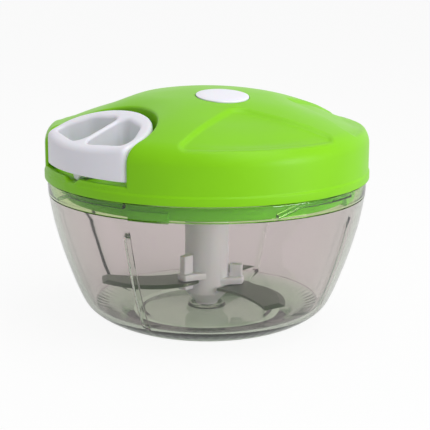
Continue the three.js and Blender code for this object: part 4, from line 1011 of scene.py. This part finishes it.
def clear_plastic():
    """Faintly smoked plastic that darkens with its thickness and lets the lamps' light through. Part of its
    pink tint and smoke is painted shade, standing in for dim surroundings seen through the bowl.
    """
    material, tree, out = new_material("clear_plastic")
    group = moulded_look(tree, 0.015, 0.05)
    height = wire(tree, "ShaderNodeSeparateXYZ", {0: object_place(tree)})[2]
    # From 9 mm down to 6 mm the walls' pink tint gives way to a faint yellow: painted light, standing in for
    # the lid's green light seen in the thick foot.
    foot = remap(tree, height, 6.0 * MM, 9.0 * MM, 1.0, 0.0)
    rim = remap(tree, height, (BAND_HEIGHT - 0.4) * MM, (BAND_HEIGHT + 0.2) * MM, 0.0, 1.0)
    tint = mixed(tree, rim, mixed(tree, foot, WALL_TINT_AND_PAINTED_SHADE, FOOT_TINT_PAINTED_LID_LIGHT), RIM_TINT)
    surface = principled(tree, tint, group["Roughness"], Transmission_Weight=1.0, IOR=PLASTIC_IOR)
    through = wire(tree, "ShaderNodeBsdfTransparent", {0: SHADOW_TINT})
    path = wire(tree, "ShaderNodeLightPath")
    mix = mixed_shader(tree, path["Is Shadow Ray"], surface, through)
    # Smoke: partly the plastic's own, partly painted shade.
    smoke_and_shade = wire(tree, "ShaderNodeVolumeAbsorption", {"Color": SMOKE_AND_PAINTED_SHADE, "Density": SMOKE_AND_SHADE_DENSITY})
    tree.links.new(mix, out.inputs[0])
    tree.links.new(smoke_and_shade[0], out.inputs["Volume"])
    return material


def steel():
    material, tree, out = new_material("stainless_steel")
    stretch = {"Vector": object_place(tree), "Scale": (40.0, 40.0, 900.0)}
    drawn = wire(tree, "ShaderNodeMapping", stretch)[0]
    brush = wire(tree, "ShaderNodeTexNoise", {"Vector": drawn, "Scale": 3.0, "Detail": 4.0})[0]
    rough = remap(tree, brush, 0.0, 1.0, 0.3, 0.45)
    # The base colour is a painted reflection of the shaded green lid above the blades.
    surface = principled(tree, STEEL_WITH_PAINTED_LID_REFLECTION, rough, Metallic=1.0)
    tree.links.new(surface[0], out.inputs[0])
    return material


def braid():
    material, tree, out = new_material("cord")
    twist = wire(tree, "ShaderNodeTexWave", {"Vector": object_place(tree), "Scale": 900.0, "Distortion": 1.0},
                 bands_direction="DIAGONAL")["Fac"]
    bump = wire(tree, "ShaderNodeBump", {"Height": twist, "Distance": 0.0002, "Strength": 0.6})[0]
    surface = principled(tree, (0.8, 0.8, 0.77, 1), 0.85, Normal=bump)
    tree.links.new(surface[0], out.inputs[0])
    return material


LIME = plastic("lime_plastic", (128, 200, 6), 0.36, 0.44, ior=1.33)
WHITE = plastic("white_plastic", (236, 235, 244), 0.28, 0.42, subsurface=0.1)
NYLON = plastic("nylon", (60, 63, 66), 0.4, 0.6)
SILICONE = plastic("silicone", (225, 230, 220), 0.5, 0.7)
CLEAR, STEEL, CORD = clear_plastic(), steel(), braid()
SLOTS = {"lime_plastic": LIME, "white_plastic": WHITE, "nylon": NYLON, "silicone": SILICONE,
         "clear_plastic": CLEAR, "stainless_steel": STEEL, "cord": CORD}


def dress(piece, body, slot, *nodes):
    """Gives a piece its material, body and the CAD nodes that it stands for."""
    piece.data.materials.clear()
    piece.data.materials.append(SLOTS[slot])
    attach(piece, body)
    if nodes:
        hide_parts(*nodes)
    return piece


dress(make_lid_cover(), "lid", "lime_plastic", "lid_cover")
dress(make_handle(), "handle", "white_plastic", "pull_handle")
dress(make_bowl(), "bowl", "clear_plastic", "bowl")
dress(make_lid_base(), "lid", "lime_plastic", "lid_base")
dress(make_cap(), "lid", "white_plastic", "top_cap")
dress(make_seal(), "seal", "silicone", "seal_ring")
dress(make_shaft(), "cutter", "white_plastic", "cutter_shaft")
pin_profile = rounded([(0, 2.9), (2.4, 2.9), (2.4, 25), (0, 25)], [0, 0.2, 1.0, 0], 5, closed=False)
dress(lathe("pivot_pin_turned", pin_profile, 60), "bowl", "stainless_steel", "pivot_pin")
for azimuth, level, name in zip(ARM_AZIMUTHS, ARM_LEVELS, LEVEL_NAMES):
    dress(make_blade(azimuth, level, "sickle_" + name), "cutter", "stainless_steel", "blade_" + name)
    dress(make_peg(azimuth, level, "peg_" + name), "cutter", "white_plastic", "blade_peg_" + name)

cord_path = [(x, 0, CORD_HEIGHT) for x in np.linspace(31.9, 57.1, 127)]
cord = tool("pull_cord_braid", tube(cord_path, 0.7), handle_side)
cord.data.materials.append(CORD)
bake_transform(cord)
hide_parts("pull_cord")

# These nodes keep the solids' own meshes.
CAD_LOOKS = ((STEEL, ("lid_screw_1", "lid_screw_2", "lid_screw_3", "lid_screw_4", "retaining_washer",
                      "retaining_screw", "recoil_spring")),
             (WHITE, ("cord_eyelet", "spool", "spring_cover")), (NYLON, ("spool_bush",)),
             (CORD, ("cord_lead", "cord_winding", "cord_knot")))
for material, names in CAD_LOOKS:
    for name in names:
        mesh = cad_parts[name].data
        mesh.materials.clear()
        mesh.materials.append(material)


# Studio: a white sweep that shows as plain white but still takes the object's shadow, and soft lamps.
FLOOR_HALF, FLOOR_SEEN, FLOOR_MIRRORED = 8.0, 0.92, 0.5
SKY_LIGHT, SKY_ADDED = 0.42, 0.58


def studio():
    floor_mesh = bpy.data.meshes.new("floor")
    half = FLOOR_HALF
    corners = [(-half, -half, 0), (half, -half, 0), (half, half, 0), (-half, half, 0)]
    floor_mesh.from_pydata(corners, [], [(0, 1, 2, 3)])
    floor = new_object("floor", floor_mesh)
    material, tree, out = new_material("floor_white")
    path = wire(tree, "ShaderNodeLightPath")
    plain = wire(tree, "ShaderNodeBsdfDiffuse", {0: (0.9, 0.9, 0.9, 1)})
    white = wire(tree, "ShaderNodeEmission", {0: (1, 1, 1, 1), 1: 1.0})
    through = calc(tree, "MAXIMUM", path["Is Glossy Ray"], path["Is Transmission Ray"])
    seen = calc(tree, "MULTIPLY", path["Is Camera Ray"], FLOOR_SEEN)
    seen = calc(tree, "MAXIMUM", seen, calc(tree, "MULTIPLY", through, FLOOR_MIRRORED))
    tree.links.new(mixed_shader(tree, seen, plain, white), out.inputs[0])
    floor_mesh.materials.append(material)

    world = bpy.data.worlds.new("studio")
    bpy.context.scene.world = world
    world.use_nodes = True
    tree = world.node_tree
    tree.nodes.clear()
    out = tree.nodes.new("ShaderNodeOutputWorld")
    path = wire(tree, "ShaderNodeLightPath")
    through = calc(tree, "MAXIMUM", path["Is Glossy Ray"], path["Is Transmission Ray"])
    seen = calc(tree, "MAXIMUM", path["Is Camera Ray"], through)
    strength = calc(tree, "ADD", SKY_LIGHT, calc(tree, "MULTIPLY", seen, SKY_ADDED))
    sky = wire(tree, "ShaderNodeBackground", {0: (1, 1, 1, 1), 1: strength})
    tree.links.new(sky[0], out.inputs[0])


def lamp(name, place, aim, size, power):
    data = bpy.data.lights.new(name, "AREA")
    data.shape = "RECTANGLE"
    data.size, data.size_y = size
    data.energy = power
    light = new_object(name, data)
    turn = (Vector(aim) - Vector(place)).to_track_quat("-Z", "Y").to_matrix().to_4x4()
    light.matrix_world = Matrix.Translation(place) @ turn


studio()
lamp("key", (0.48, -0.57, 0.73), (0, 0, 0.06), (0.7, 0.5), 3.0)
lamp("side", (0.86, -0.50, 0.16), (0, 0, 0.03), (0.5, 0.25), 3.3)
lamp("top", (0.25, -0.1, 1.0), (0, 0, 0.06), (0.6, 0.6), 3.4)
place_camera()
bpy.context.scene.view_settings.view_transform = "Standard"
